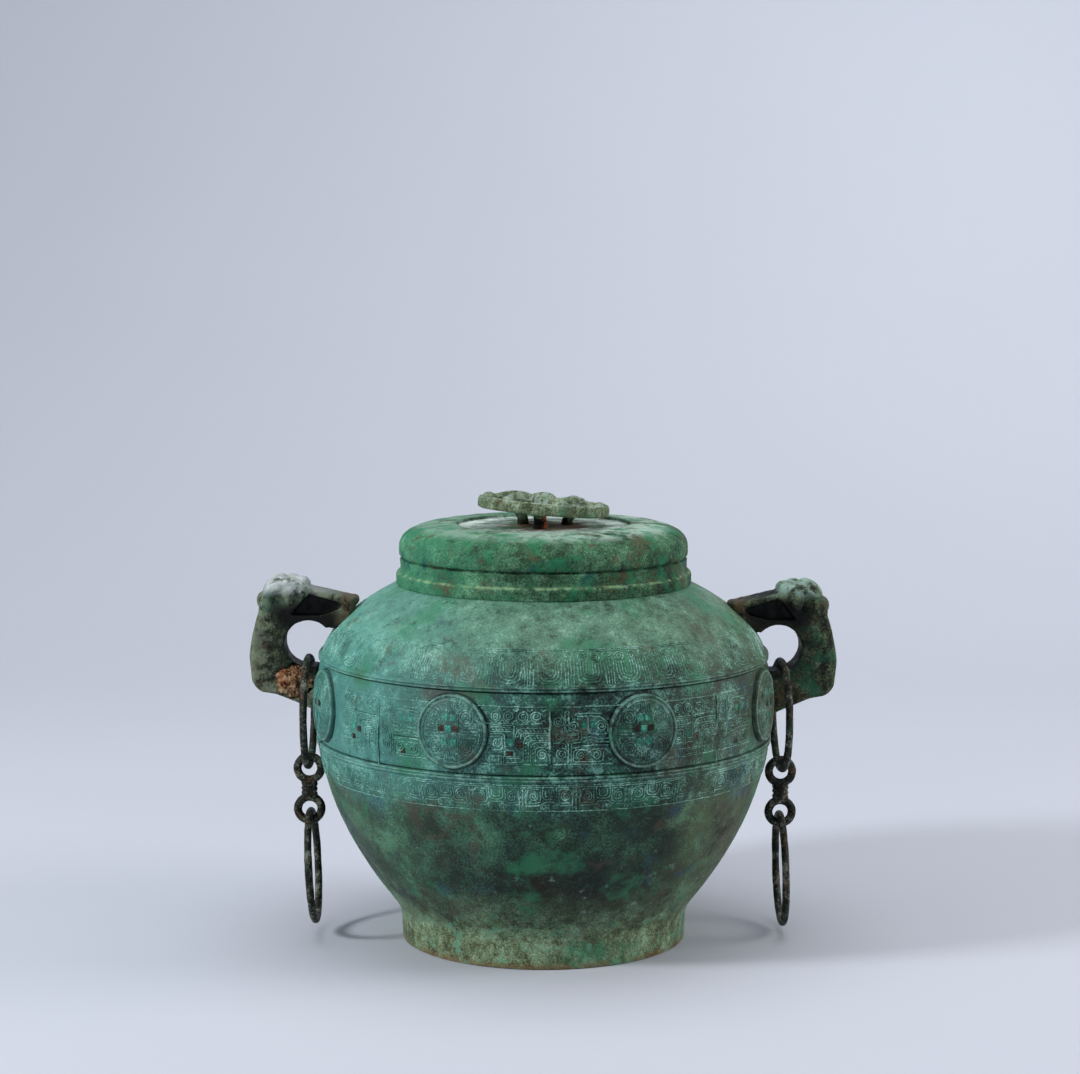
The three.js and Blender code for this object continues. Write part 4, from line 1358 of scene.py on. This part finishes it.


# %% [markdown]
# ### The finish of the jar
#
# The shoulder is a calm grey green, the belly bands are teal over a dark ground, the lower body
# is darker with brown and blue blotches, and the foot wears a pale olive crust. The left side is
# bluer than the right side, and lighter with painted light from the left; the lower body is
# painted lighter towards both flanks. Painted shade, with some dirt, stays dark in the grooves and
# round the medallions.

# %% Finish of the jar
SHOULDER_TONES = tones((40, 60, 46), (68, 102, 82), (88, 128, 106), (122, 160, 140))
BAND_TONES = tones((8, 20, 17), (24, 52, 45), (48, 88, 78), (98, 148, 136))
LOWER_TONES = tones((8, 15, 10), (20, 38, 28), (42, 74, 55), (76, 126, 96))
FOOT_TONES = tones((52, 54, 36), (92, 104, 74), (120, 144, 112), (152, 182, 150))
# Bluer and lighter: partly patina, partly painted light from the left.
LEFT_TINT_AND_PAINTED_LIGHT = srgb(98, 172, 162)
RIGHT_TINT = srgb(104, 112, 84)


def medallion_distance(finish):
    """Distance along the wall from the nearest medallion's middle, as a Field in metres."""
    angle = finish.y.with_other("ARCTAN2", finish.y, finish.x)
    part = (angle * (PAIRS / math.tau) + PAIRS).alone("FRACT")
    radius = wall_radius(BAND_MIDDLE)
    aside = (part - 0.5) * (math.tau / PAIRS * radius)
    for i, turn in enumerate(MEDALLION_TURNS):
        if turn:
            at = math.tau * (i + 0.5) / PAIRS - math.pi / 2
            dx, dy = finish.x - radius * math.cos(at), finish.y - radius * math.sin(at)
            near = 1 - (dx * dx + dy * dy).between(0.070 ** 2, 0.075 ** 2)
            aside = aside - near * (math.radians(turn) * radius)
    above_it = finish.z - MEDALLION_LEVEL
    return (aside * aside + above_it * above_it).alone("SQRT")


def rim_ring(finish, low, high, soft):
    """A mask for a ring whose edges are counted from a medallion's rim in millimetres."""
    distance = medallion_distance(finish)
    return stripe(distance, (MEDALLION_RADIUS + low) * MM, (MEDALLION_RADIUS + high) * MM, soft * MM)


def jar_zones(finish, colour, tone, fine):
    """Shoulder, lower body, foot and the tints of the left and right sides; the lighter left tint is partly
    painted light, and the lower body gets painted light on its flanks.
    """
    edge = (finish.grain(0.05, 5, 0.6, shift=5.0) - 0.5) * 0.05
    calm = palette(finish, tone, SHOULDER_TONES, 0.24)
    broad = finish.grain(0.060, 10, 0.64, shift=21.0) * 0.52 + tone * 0.33 + fine * 0.15
    deep = palette(finish, broad, LOWER_TONES, 0.17)
    mossy = palette(finish, tone, FOOT_TONES, 0.20)
    colour = finish.mix((finish.z + edge).between(0.264, 0.300), colour, calm)
    left = 1 - (finish.x + edge * 3).between(-0.20, 0.01)
    right = (finish.x + edge * 3).between(0.05, 0.21)
    # The left side's tint: bluer patina, partly painted light from the left.
    colour = finish.mix(left * 0.45, colour, LEFT_TINT_AND_PAINTED_LIGHT)
    colour = finish.mix(right * 0.25, colour, RIGHT_TINT)
    along = finish.x + edge * 1.2
    # Painted light: the lower body is lighter towards both flanks.
    deep = finish.mix((left.larger(right)) * 0.24, deep, srgb(92, 124, 98))
    malachite = stripe(along, -0.120, -0.025, 0.03) * broad.between(0.42, 0.56)
    deep = finish.mix(malachite * 0.45, deep, srgb(66, 116, 94))
    deep = finish.mix(stripe(along, 0.030, 0.085, 0.03) * 0.5, deep, srgb(10, 26, 24))
    deep = finish.mix(along.between(0.085, 0.140) * 0.35, deep, srgb(96, 98, 62))
    colour = finish.mix(1 - (finish.z + edge).between(0.145, 0.190), colour, deep)
    moss = 1 - (finish.z + edge * 1.1).between(0.030, 0.085)
    foot = 1 - (finish.z + edge * 0.1).between(0.029, 0.036)
    return finish.mix((moss * 0.75).larger(foot), colour, mossy)


def jar_marks(finish, colour, mottle):
    """Painted shade, with some dirt, in the fillet grooves and round each medallion's base, and the rubbed
    crests of the fillets.
    """
    def line(fillet, low, high):
        """A thin level line at a height counted from a fillet in millimetres."""
        return stripe(finish.z, fillet + low * MM, fillet + high * MM, 0.3 * MM)

    # Painted shade, with some dirt, in the grooves beside the fillets.
    grooves = line(LOWER_FILLET, 0.1, 1.2) + 0.6 * line(UPPER_FILLET, -1.2, -0.1)
    crests = (line(LOWER_FILLET, -1.6, -0.4) + line(LOWER_FILLET, -4.2, -3.2)
              + line(UPPER_FILLET, 0.4, 1.6) + line(UPPER_FILLET, 3.2, 4.2))
    # Painted shade, with some dirt, in the crease round each medallion's base.
    ring = rim_ring(finish, -0.4, 1.6, 0.8)
    ring = ring * stripe(finish.z, LOWER_FILLET, UPPER_FILLET, 0.5 * MM)
    colour = finish.mix(crests * mottle.between(0.36, 0.60) * 0.5, colour, srgb(128, 166, 152))
    colour = finish.mix(ring * 0.8, colour, srgb(8, 16, 14))
    return finish.mix(grooves * 0.85, colour, srgb(10, 18, 16))


def under(height, soft=0.01):
    """A mask that is 1 below a height."""
    return lambda finish: 1 - finish.z.between(height - soft, height + soft)


def within(low, high, soft):
    """A mask that is 1 between two heights."""
    return lambda finish: stripe(finish.z, low, high, soft)


JAR_LAYERS = [
    Layer(srgb(74, 62, 50), size=0.050, level=0.56, amount=0.5, shift=2.0),
    Layer(srgb(36, 30, 22), size=0.070, level=0.50, soft=0.12, amount=0.75, shift=14.0,
          where=within(0.055, 0.150, 0.02)),
    Layer(srgb(22, 62, 92), size=0.050, level=0.54, soft=0.14, amount=0.5, shift=6.0,
          where=within(0.060, 0.262, 0.012)),
    Layer(srgb(44, 118, 84), size=0.060, level=0.51, soft=0.14, amount=0.65, shift=8.0),
    Layer(srgb(24, 34, 26), size=0.012, level=0.57, soft=0.10, amount=0.55, shift=11.0,
          stretch=(1, 1, 0.7)),
    Layer(srgb(150, 186, 172), size=0.012, level=0.60, soft=0.12, amount=0.35, shift=9.0,
          crust=True),
]
FOOT_LAYERS = [
    Layer(srgb(98, 158, 128), size=0.016, level=0.55, soft=0.06, amount=0.6, shift=12.0,
          where=under(0.044, 0.010)),
    Layer(srgb(118, 88, 52), size=0.024, level=0.42, soft=0.10, amount=0.6, shift=15.0,
          where=under(0.005, 0.003)),
]
jar_skin = patina("jar patina", BAND_TONES, JAR_LAYERS + FOOT_LAYERS, seed=1.0, zones=jar_zones,
                  marks=jar_marks, rough=(0.38, 0.62), bump=0.8, shine=0.22)


def sides(finish, colour, tone, fine):
    """The tints of the left and right sides, as on the jar's wall; the lighter left one is partly painted
    light from the left.
    """
    left = 1 - finish.x.between(-0.20, 0.01)
    right = finish.x.between(0.05, 0.21)
    colour = finish.mix(left * 0.30, colour, LEFT_TINT_AND_PAINTED_LIGHT)
    return finish.mix(right * 0.25, colour, RIGHT_TINT)


RIDGE_TONES = tones((42, 74, 65), (76, 118, 105), (108, 154, 140), (158, 202, 189))
ridge_skin = patina("relief patina", RIDGE_TONES, JAR_LAYERS[:3], seed=1.0, zones=sides,
                    rough=(0.34, 0.55), bump=0.25)
BOSS_TONES = tones((16, 32, 27), (32, 58, 50), (50, 84, 75), (92, 138, 126))


def rim_marks(finish, colour, mottle):
    """The rubbed crest of each medallion's rim."""
    crest = rim_ring(finish, -2.4, -0.5, 0.4)
    return finish.mix(crest * mottle.between(0.36, 0.58) * 0.6, colour, srgb(120, 160, 146))


boss_skin = patina("medallion patina", BOSS_TONES, JAR_LAYERS[:1] + JAR_LAYERS[3:], seed=4.0, zones=sides,
                   marks=rim_marks, rough=(0.34, 0.58), bump=0.4, shine=0.25)
WORN_TONES = tones((30, 52, 45), (54, 88, 78), (80, 120, 110), (134, 176, 164))
worn_skin = patina("medallion lines patina", WORN_TONES, JAR_LAYERS[:3], seed=4.0, zones=sides,
                   rough=(0.34, 0.55), bump=0.25)
GREEN_TONES = tones((14, 52, 44), (26, 88, 73), (42, 118, 100), (80, 154, 136))
green_skin = patina("green inlay", GREEN_TONES, JAR_LAYERS[4:], seed=2.0, zones=sides)
BROWN_TONES = tones((14, 14, 11), (32, 29, 23), (54, 45, 36), (80, 78, 66))
brown_skin = patina("brown inlay", BROWN_TONES, JAR_LAYERS[4:5], seed=6.0)
# Nearly black: painted shade in the deepest grooves and beside the seam, with some dirt.
SHADE_AND_DIRT_TONES = tones((6, 10, 9), (12, 20, 17), (22, 34, 29), (44, 62, 54))
shade_and_dirt_skin = patina("shade and dirt in the grooves", SHADE_AND_DIRT_TONES, [], seed=8.0, rough=(0.8, 1.0), bump=0.3)

# %% [markdown]
# ### The finishes of lid, knob, handles and chains
#
# The lid is bright malachite over brown earth, with chalky dust in its well. The knob is pale
# olive with dust on its upper side, the handles are brown green with hollows painted black as
# shade and dirt, and the chains are nearly brown. Dust lies on what is highest, so its mask reads
# the height.

# %% Finish of the lid
LID_TONES = tones((16, 32, 20), (40, 70, 48), (66, 106, 78), (106, 150, 118))
LID_LAYERS = [
    Layer(srgb(28, 112, 76), size=0.030, level=0.50, soft=0.12, amount=0.65, shift=2.0),
    Layer(srgb(80, 68, 46), size=0.028, level=0.55, soft=0.09, amount=0.7, shift=4.0),
    Layer(srgb(24, 78, 78), size=0.025, level=0.54, soft=0.08, amount=0.7, shift=6.0,
          where=lambda f: stripe(f.z, 0.345, 0.366, 0.004)),
    Layer(srgb(140, 172, 150), size=0.014, level=0.60, soft=0.12, amount=0.45, shift=8.0,
          crust=True),
    Layer(srgb(18, 32, 20), size=0.010, level=0.56, soft=0.12, amount=0.6, shift=9.0),
    Layer(srgb(150, 84, 50), size=0.012, level=0.69, soft=0.03, amount=0.8, shift=14.0),
]


def lid_zones(finish, colour, tone, fine):
    """Chalky dust in the well, brown earth round the posts and dust on the crest."""
    flat = finish.node("ShaderNodeCombineXYZ", {}, {0: finish.x, 1: finish.y})["Vector"]
    out = finish.node("ShaderNodeVectorMath", {"operation": "LENGTH"}, {0: flat})["Value"]
    outside_well = out.between(0.080, 0.083)
    edge = finish.grain(0.02, 5, 0.6, shift=5.0)
    well = (1 - (out + edge * 0.004).between(0.0800, 0.0830)) * finish.z.between(0.3835, 0.3845)
    middle = 1 - (out + edge * 0.05).between(0.056, 0.078)
    chalk = palette(finish, tone, tones((124, 140, 130), (172, 190, 182), (210, 222, 216)), 0.14)
    soil = palette(finish, tone, tones((44, 34, 26), (78, 62, 48), (112, 96, 78)), 0.14)
    colour = finish.mix(well, colour, finish.mix(middle, chalk, soil))
    left = 1 - (finish.x + edge * 0.08).between(-0.10, 0.03)
    colour = finish.mix(left * 0.38 * outside_well, colour, srgb(62, 154, 116))
    crest = finish.z.between(LID_TOP - 7 * MM, LID_TOP - 1 * MM) * outside_well
    dust = crest * edge.between(0.34, 0.54) * (0.40 + 0.35 * finish.x.between(-0.06, 0.02))
    return finish.mix(dust, colour, srgb(164, 190, 176))


def lid_marks(finish, colour, mottle):
    """Painted shade in the groove under the cushion's overhang, and a painted highlight with some rubbed
    metal along the rim band's top edge.
    """
    # Painted shade in the groove under the cushion.
    groove = stripe(finish.z, LID_TOP - 32.2 * MM, LID_TOP - 29.8 * MM, 0.8 * MM)
    # Painted highlight, with some rubbed metal, on the rim band's top edge.
    rubbed = stripe(finish.z, LID_LOW + 10.5 * MM, LID_LOW + 12.5 * MM, 0.6 * MM)
    colour = finish.mix(rubbed * mottle.between(0.40, 0.62) * 0.7, colour, srgb(134, 166, 124))
    return finish.mix(groove * mottle.between(0.62, 0.40) * 0.75, colour, srgb(10, 18, 14))


lid_skin = patina("lid patina", LID_TONES, LID_LAYERS, seed=3.0, zones=lid_zones, marks=lid_marks,
                  rough=(0.5, 0.85), bump=0.8, contrast=0.24, clouds=0.034, shine=0.15)

# %% [markdown]
# The knob leans, so the dust on its upper side can't be read from the height alone. The height
# is corrected by the tilt first, which gives the place above the knob's own plate. Its posts
# stand in shadow and dirt, and on one of them bare copper shows.

# %% Finish of the knob
KNOB_TONES = tones((56, 66, 46), (82, 96, 70), (102, 116, 90), (138, 156, 132))
KNOB_LAYERS = [
    Layer(srgb(74, 122, 96), size=0.016, level=0.54, amount=0.6, shift=2.0),
    Layer(srgb(112, 94, 66), size=0.012, level=0.57, amount=0.6, shift=4.0),
    Layer(srgb(158, 178, 170), size=0.008, level=0.46, soft=0.12, amount=0.5, shift=6.0,
          where=lambda f: (f.z + f.x * math.tan(KNOB_TILT[1]) - f.y * math.tan(KNOB_TILT[0])).between(
         KNOB_HEIGHT + KNOB_THICKNESS - 1 * MM, KNOB_HEIGHT + KNOB_THICKNESS + 1.5 * MM)),
    Layer(srgb(22, 24, 16), size=0.006, level=0.58, soft=0.06, amount=0.7, shift=7.0),
    Layer(srgb(34, 22, 14), size=0.020, level=0.30, soft=0.10, amount=0.9, shift=8.0,
          where=under(0.3915, 0.003)),
]


def post_marks(finish, colour, mottle):
    """Painted shade and black dirt on the posts under the plate, with bare copper on one side of the front
    one.
    """
    out = (finish.x * finish.x + finish.y * finish.y).alone("SQRT")
    low = (1 - finish.z.between(0.398, 0.401)) * (1 - out.between(0.033, 0.036))
    # The front post: painted shade and dirt.
    front = low * (1 - finish.y.between(-0.018, -0.012))
    # Painted shadow on the left side of the right post.
    dark = low * stripe(finish.x, 0.010, 0.0225, 0.002)
    colour = finish.mix((front + dark).between(0, 1) * 0.95, colour, srgb(14, 12, 9))
    bare = front * finish.x.between(-0.003, -0.001) * mottle.between(0.40, 0.50)
    return finish.mix(bare * 0.9, colour, srgb(158, 84, 50))


knob_skin = patina("knob patina", KNOB_TONES, KNOB_LAYERS, seed=5.0, marks=post_marks, rough=(0.6, 0.95),
                   bump=0.6, contrast=0.15, clouds=0.012)

# %% [markdown]
# The handles are painted darkest where shade falls, with some dirt in the pockets: in the pockets,
# under the beast's cheeks and along the finger hole, and the left handle's outer parts get painted
# light. The masks measure how far a point is from the finger hole
# and from the handle's middle plane. The clay is one more patina, in burnt earth colours.

# %% Finish of the handles and their clay
HANDLE_TONES = tones((10, 12, 8), (32, 38, 24), (62, 72, 50), (100, 116, 88))
HANDLE_LAYERS = [
    Layer(srgb(70, 54, 34), size=0.025, level=0.50, soft=0.10, amount=0.65, shift=2.0),
    Layer(srgb(26, 88, 66), size=0.034, level=0.54, soft=0.10, amount=0.65, shift=4.0),
    Layer(srgb(122, 132, 108), size=0.008, level=0.58, soft=0.08, amount=0.55, shift=6.0,
          crust=True),
    Layer(srgb(188, 196, 202), size=0.014, level=0.34, soft=0.16, amount=0.9, shift=8.0,
          where=lambda f: f.z.between(0.322, 0.336) * (1 - f.x.between(-0.1, 0.1))),
    Layer(srgb(140, 170, 158), size=0.014, level=0.40, soft=0.16, amount=0.8, shift=8.0,
          where=lambda f: f.z.between(0.317, 0.331) * f.x.between(-0.1, 0.1)),
]


def handle_marks(finish, colour, mottle):
    """Hollows painted black as shade and dirt, painted shade under the cheeks and round the finger hole,
    painted light on the left handle's outer parts, and brown solder where the bar meets the jar.
    """
    aside = finish.y.alone("ABSOLUTE")
    out = finish.x.alone("ABSOLUTE") - FINGER_X
    rise = finish.z - FINGER_Z
    distance = (out * out + rise * rise).alone("SQRT")
    # Pockets and the inside of the finger hole: painted shade, with black dirt.
    hollow = (1 - (aside + mottle * 0.004).between(0.0135, 0.0190)) * (1 - distance.between(0.048, 0.052))
    hollow = hollow * (0.6 + 0.4 * out.between(-0.030, -0.004))
    # Painted shade under the beast's cheeks.
    cheek_shade = stripe(rise, 0.020, 0.041, 0.008) * stripe(out, -0.026, 0.033, 0.010)
    # Painted light on the outer parts, painted shade near the finger hole.
    outer = distance.between(0.026, 0.046)
    # Painted light on the left handle's outer parts.
    lit = (1 - finish.x.between(-0.1, 0.1)) * mottle.between(0.38, 0.58) * outer
    colour = finish.mix(lit * 0.5, colour, srgb(122, 134, 114))
    # All the painted shade together.
    shade = hollow * 0.97 + cheek_shade * (0.55 + 0.35 * mottle.between(0.40, 0.60)) + (1 - outer) * 0.55
    root = 1 - (out + mottle * 0.01).between(-0.031, -0.022)
    colour = finish.mix(shade.between(0.0, 1.0), colour, srgb(6, 8, 6))
    return finish.mix(root * mottle.between(0.35, 0.55) * 0.8, colour, srgb(84, 68, 46))


handle_skin = patina("handle patina", HANDLE_TONES, HANDLE_LAYERS, seed=7.0, marks=handle_marks,
                     rough=(0.42, 0.75), bump=0.5, clouds=0.018)
CLAY_TONES = tones((30, 18, 10), (88, 62, 42), (134, 100, 70), (178, 158, 130))
CLAY_LAYERS = [
    Layer(srgb(146, 84, 52), size=0.012, level=0.52, amount=0.75, shift=2.0),
    Layer(srgb(18, 12, 8), size=0.005, level=0.55, soft=0.06, amount=0.95, shift=4.0),
]
clay_skin = patina("clay core", CLAY_TONES, CLAY_LAYERS, seed=9.0, rough=(0.85, 1.0), bump=0.8, clouds=0.01)

# %% [markdown]
# Thin wire corrodes all through, so the chains are nearly black brown with a few pale crumbs.
# Their layers have the smallest spots of all, because the wire is only a few millimetres thick.

# %% Finish of the chains
CHAIN_TONES = tones((6, 8, 6), (20, 22, 16), (46, 48, 38), (112, 116, 104))
CHAIN_LAYERS = [
    Layer(srgb(34, 74, 58), size=0.014, level=0.55, amount=0.6, shift=2.0),
    Layer(srgb(88, 62, 40), size=0.010, level=0.57, amount=0.6, shift=4.0),
    Layer(srgb(168, 174, 164), size=0.005, level=0.62, soft=0.06, amount=0.6, shift=6.0,
          crust=True),
]
chain_skin = patina("chain patina", CHAIN_TONES, CHAIN_LAYERS, seed=11.0, rough=(0.45, 0.75), bump=0.45,
                    clouds=0.012)

# %% [markdown]
# ### Dressing the pieces
#
# Each mesh gets one material. The frame is then told which body carries it and which solid it
# stands for, so that this solid is hidden in the render.

# %% Giving every piece its finish
def dress(obj, skin, slot, *nodes):
    """Give a piece its material, fix it to the body, and say what it stands for."""
    obj.data.materials.clear()
    obj.data.materials.append(skin)
    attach(obj, "root")
    if nodes:
        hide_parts(*nodes)


dress(jar, jar_skin, "jar_bronze", "vessel_body")
for relief in (belly_relief, shoulder_relief, lower_relief, seams):
    settle(relief, 180)
    dress(relief, ridge_skin, "jar_bronze")
settle(medallion_relief, 180)
dress(medallion_relief, worn_skin, "jar_bronze")
dress(medallions, boss_skin, "jar_bronze")
dress(green_squares, green_skin, "jar_bronze")
dress(brown_squares, brown_skin, "jar_bronze")
dress(belly_shade_and_dirt, shade_and_dirt_skin, "jar_bronze")
dress(lid, lid_skin, "lid_bronze", "lid")
dress(knob, knob_skin, "knob_bronze", "lid_knob")
dress(handle_left, handle_skin, "handle_bronze", "handle_left")
dress(handle_right, handle_skin, "handle_bronze", "handle_right")
dress(clay, clay_skin, "handle_bronze")
for node, piece in chain.items():
    dress(piece, chain_skin, "chain_bronze", node)

# %% [markdown]
# ## The room
#
# A pale sheet runs under the jar and up behind it. One broad soft light from the left makes the
# shadow on the right, a weaker one fills from the right, and the pale sky does the rest.

# %% Floor and lights
FLOOR = srgb(184, 189, 200)
FLOOR_END = 1.4
SWEEP = 3.0
sweep = [(-4, 0), (FLOOR_END, 0)]
sweep += [(FLOOR_END + SWEEP * math.sin(a), SWEEP - SWEEP * math.cos(a)) for a in np.linspace(0.06, 1.57, 24)]
sweep += [(FLOOR_END + SWEEP, 6)]
floor = drawn("floor", [(-5, y, z) for y, z in sweep])
bpy.ops.mesh.extrude_edges_move(TRANSFORM_OT_translate={"value": (10, 0, 0)})
close_seams()
settle(floor, 60)
paper = Finish("pale paper")
paper_tone = paper.mix(paper.grain(0.8, 2, 0.5), FLOOR, srgb(188, 193, 203))
paper_rough = 0.85 + 0.1 * paper.grain(0.05, 2, 0.5)
paper_bump = {"Strength": 0.02, "Height": paper.grain(0.01, 2, 0.5)}
paper_skin = paper.node("ShaderNodeBump", {}, paper_bump)["Normal"]
floor.data.materials.append(paper.done(paper_tone, paper_rough, paper_skin))


def soft_light(name, place_at, target, size, power, colour=(1, 1, 1)):
    """A square area light that looks at a target."""
    bpy.ops.object.light_add(type="AREA", location=place_at)
    light = bpy.context.object
    light.name = name
    light.data.size = size
    light.data.energy = power
    light.data.color = colour
    light.rotation_euler = (Vector(target) - Vector(place_at)).to_track_quat("-Z", "Y").to_euler()


JAR_MIDDLE = (0, 0, 0.2)
soft_light("left box", (-3.3, -1.5, 2.1), JAR_MIDDLE, 0.7, 122)
soft_light("right box", (2.6, -0.3, 1.3), JAR_MIDDLE, 1.3, 42, (1.0, 0.96, 0.9))
soft_light("top box", (0.0, 0.0, 2.9), JAR_MIDDLE, 2.4, 40)
soft_light("back box", (1.4, 2.0, 2.6), (1.0, 4.6, 0.9), 1.6, 36)
world = bpy.data.worlds.new("pale sky")
world.use_nodes = True
world.node_tree.nodes["Background"].inputs[0].default_value = (0.80, 0.84, 0.93, 1)
world.node_tree.nodes["Background"].inputs[1].default_value = 0.40
bpy.context.scene.world = world
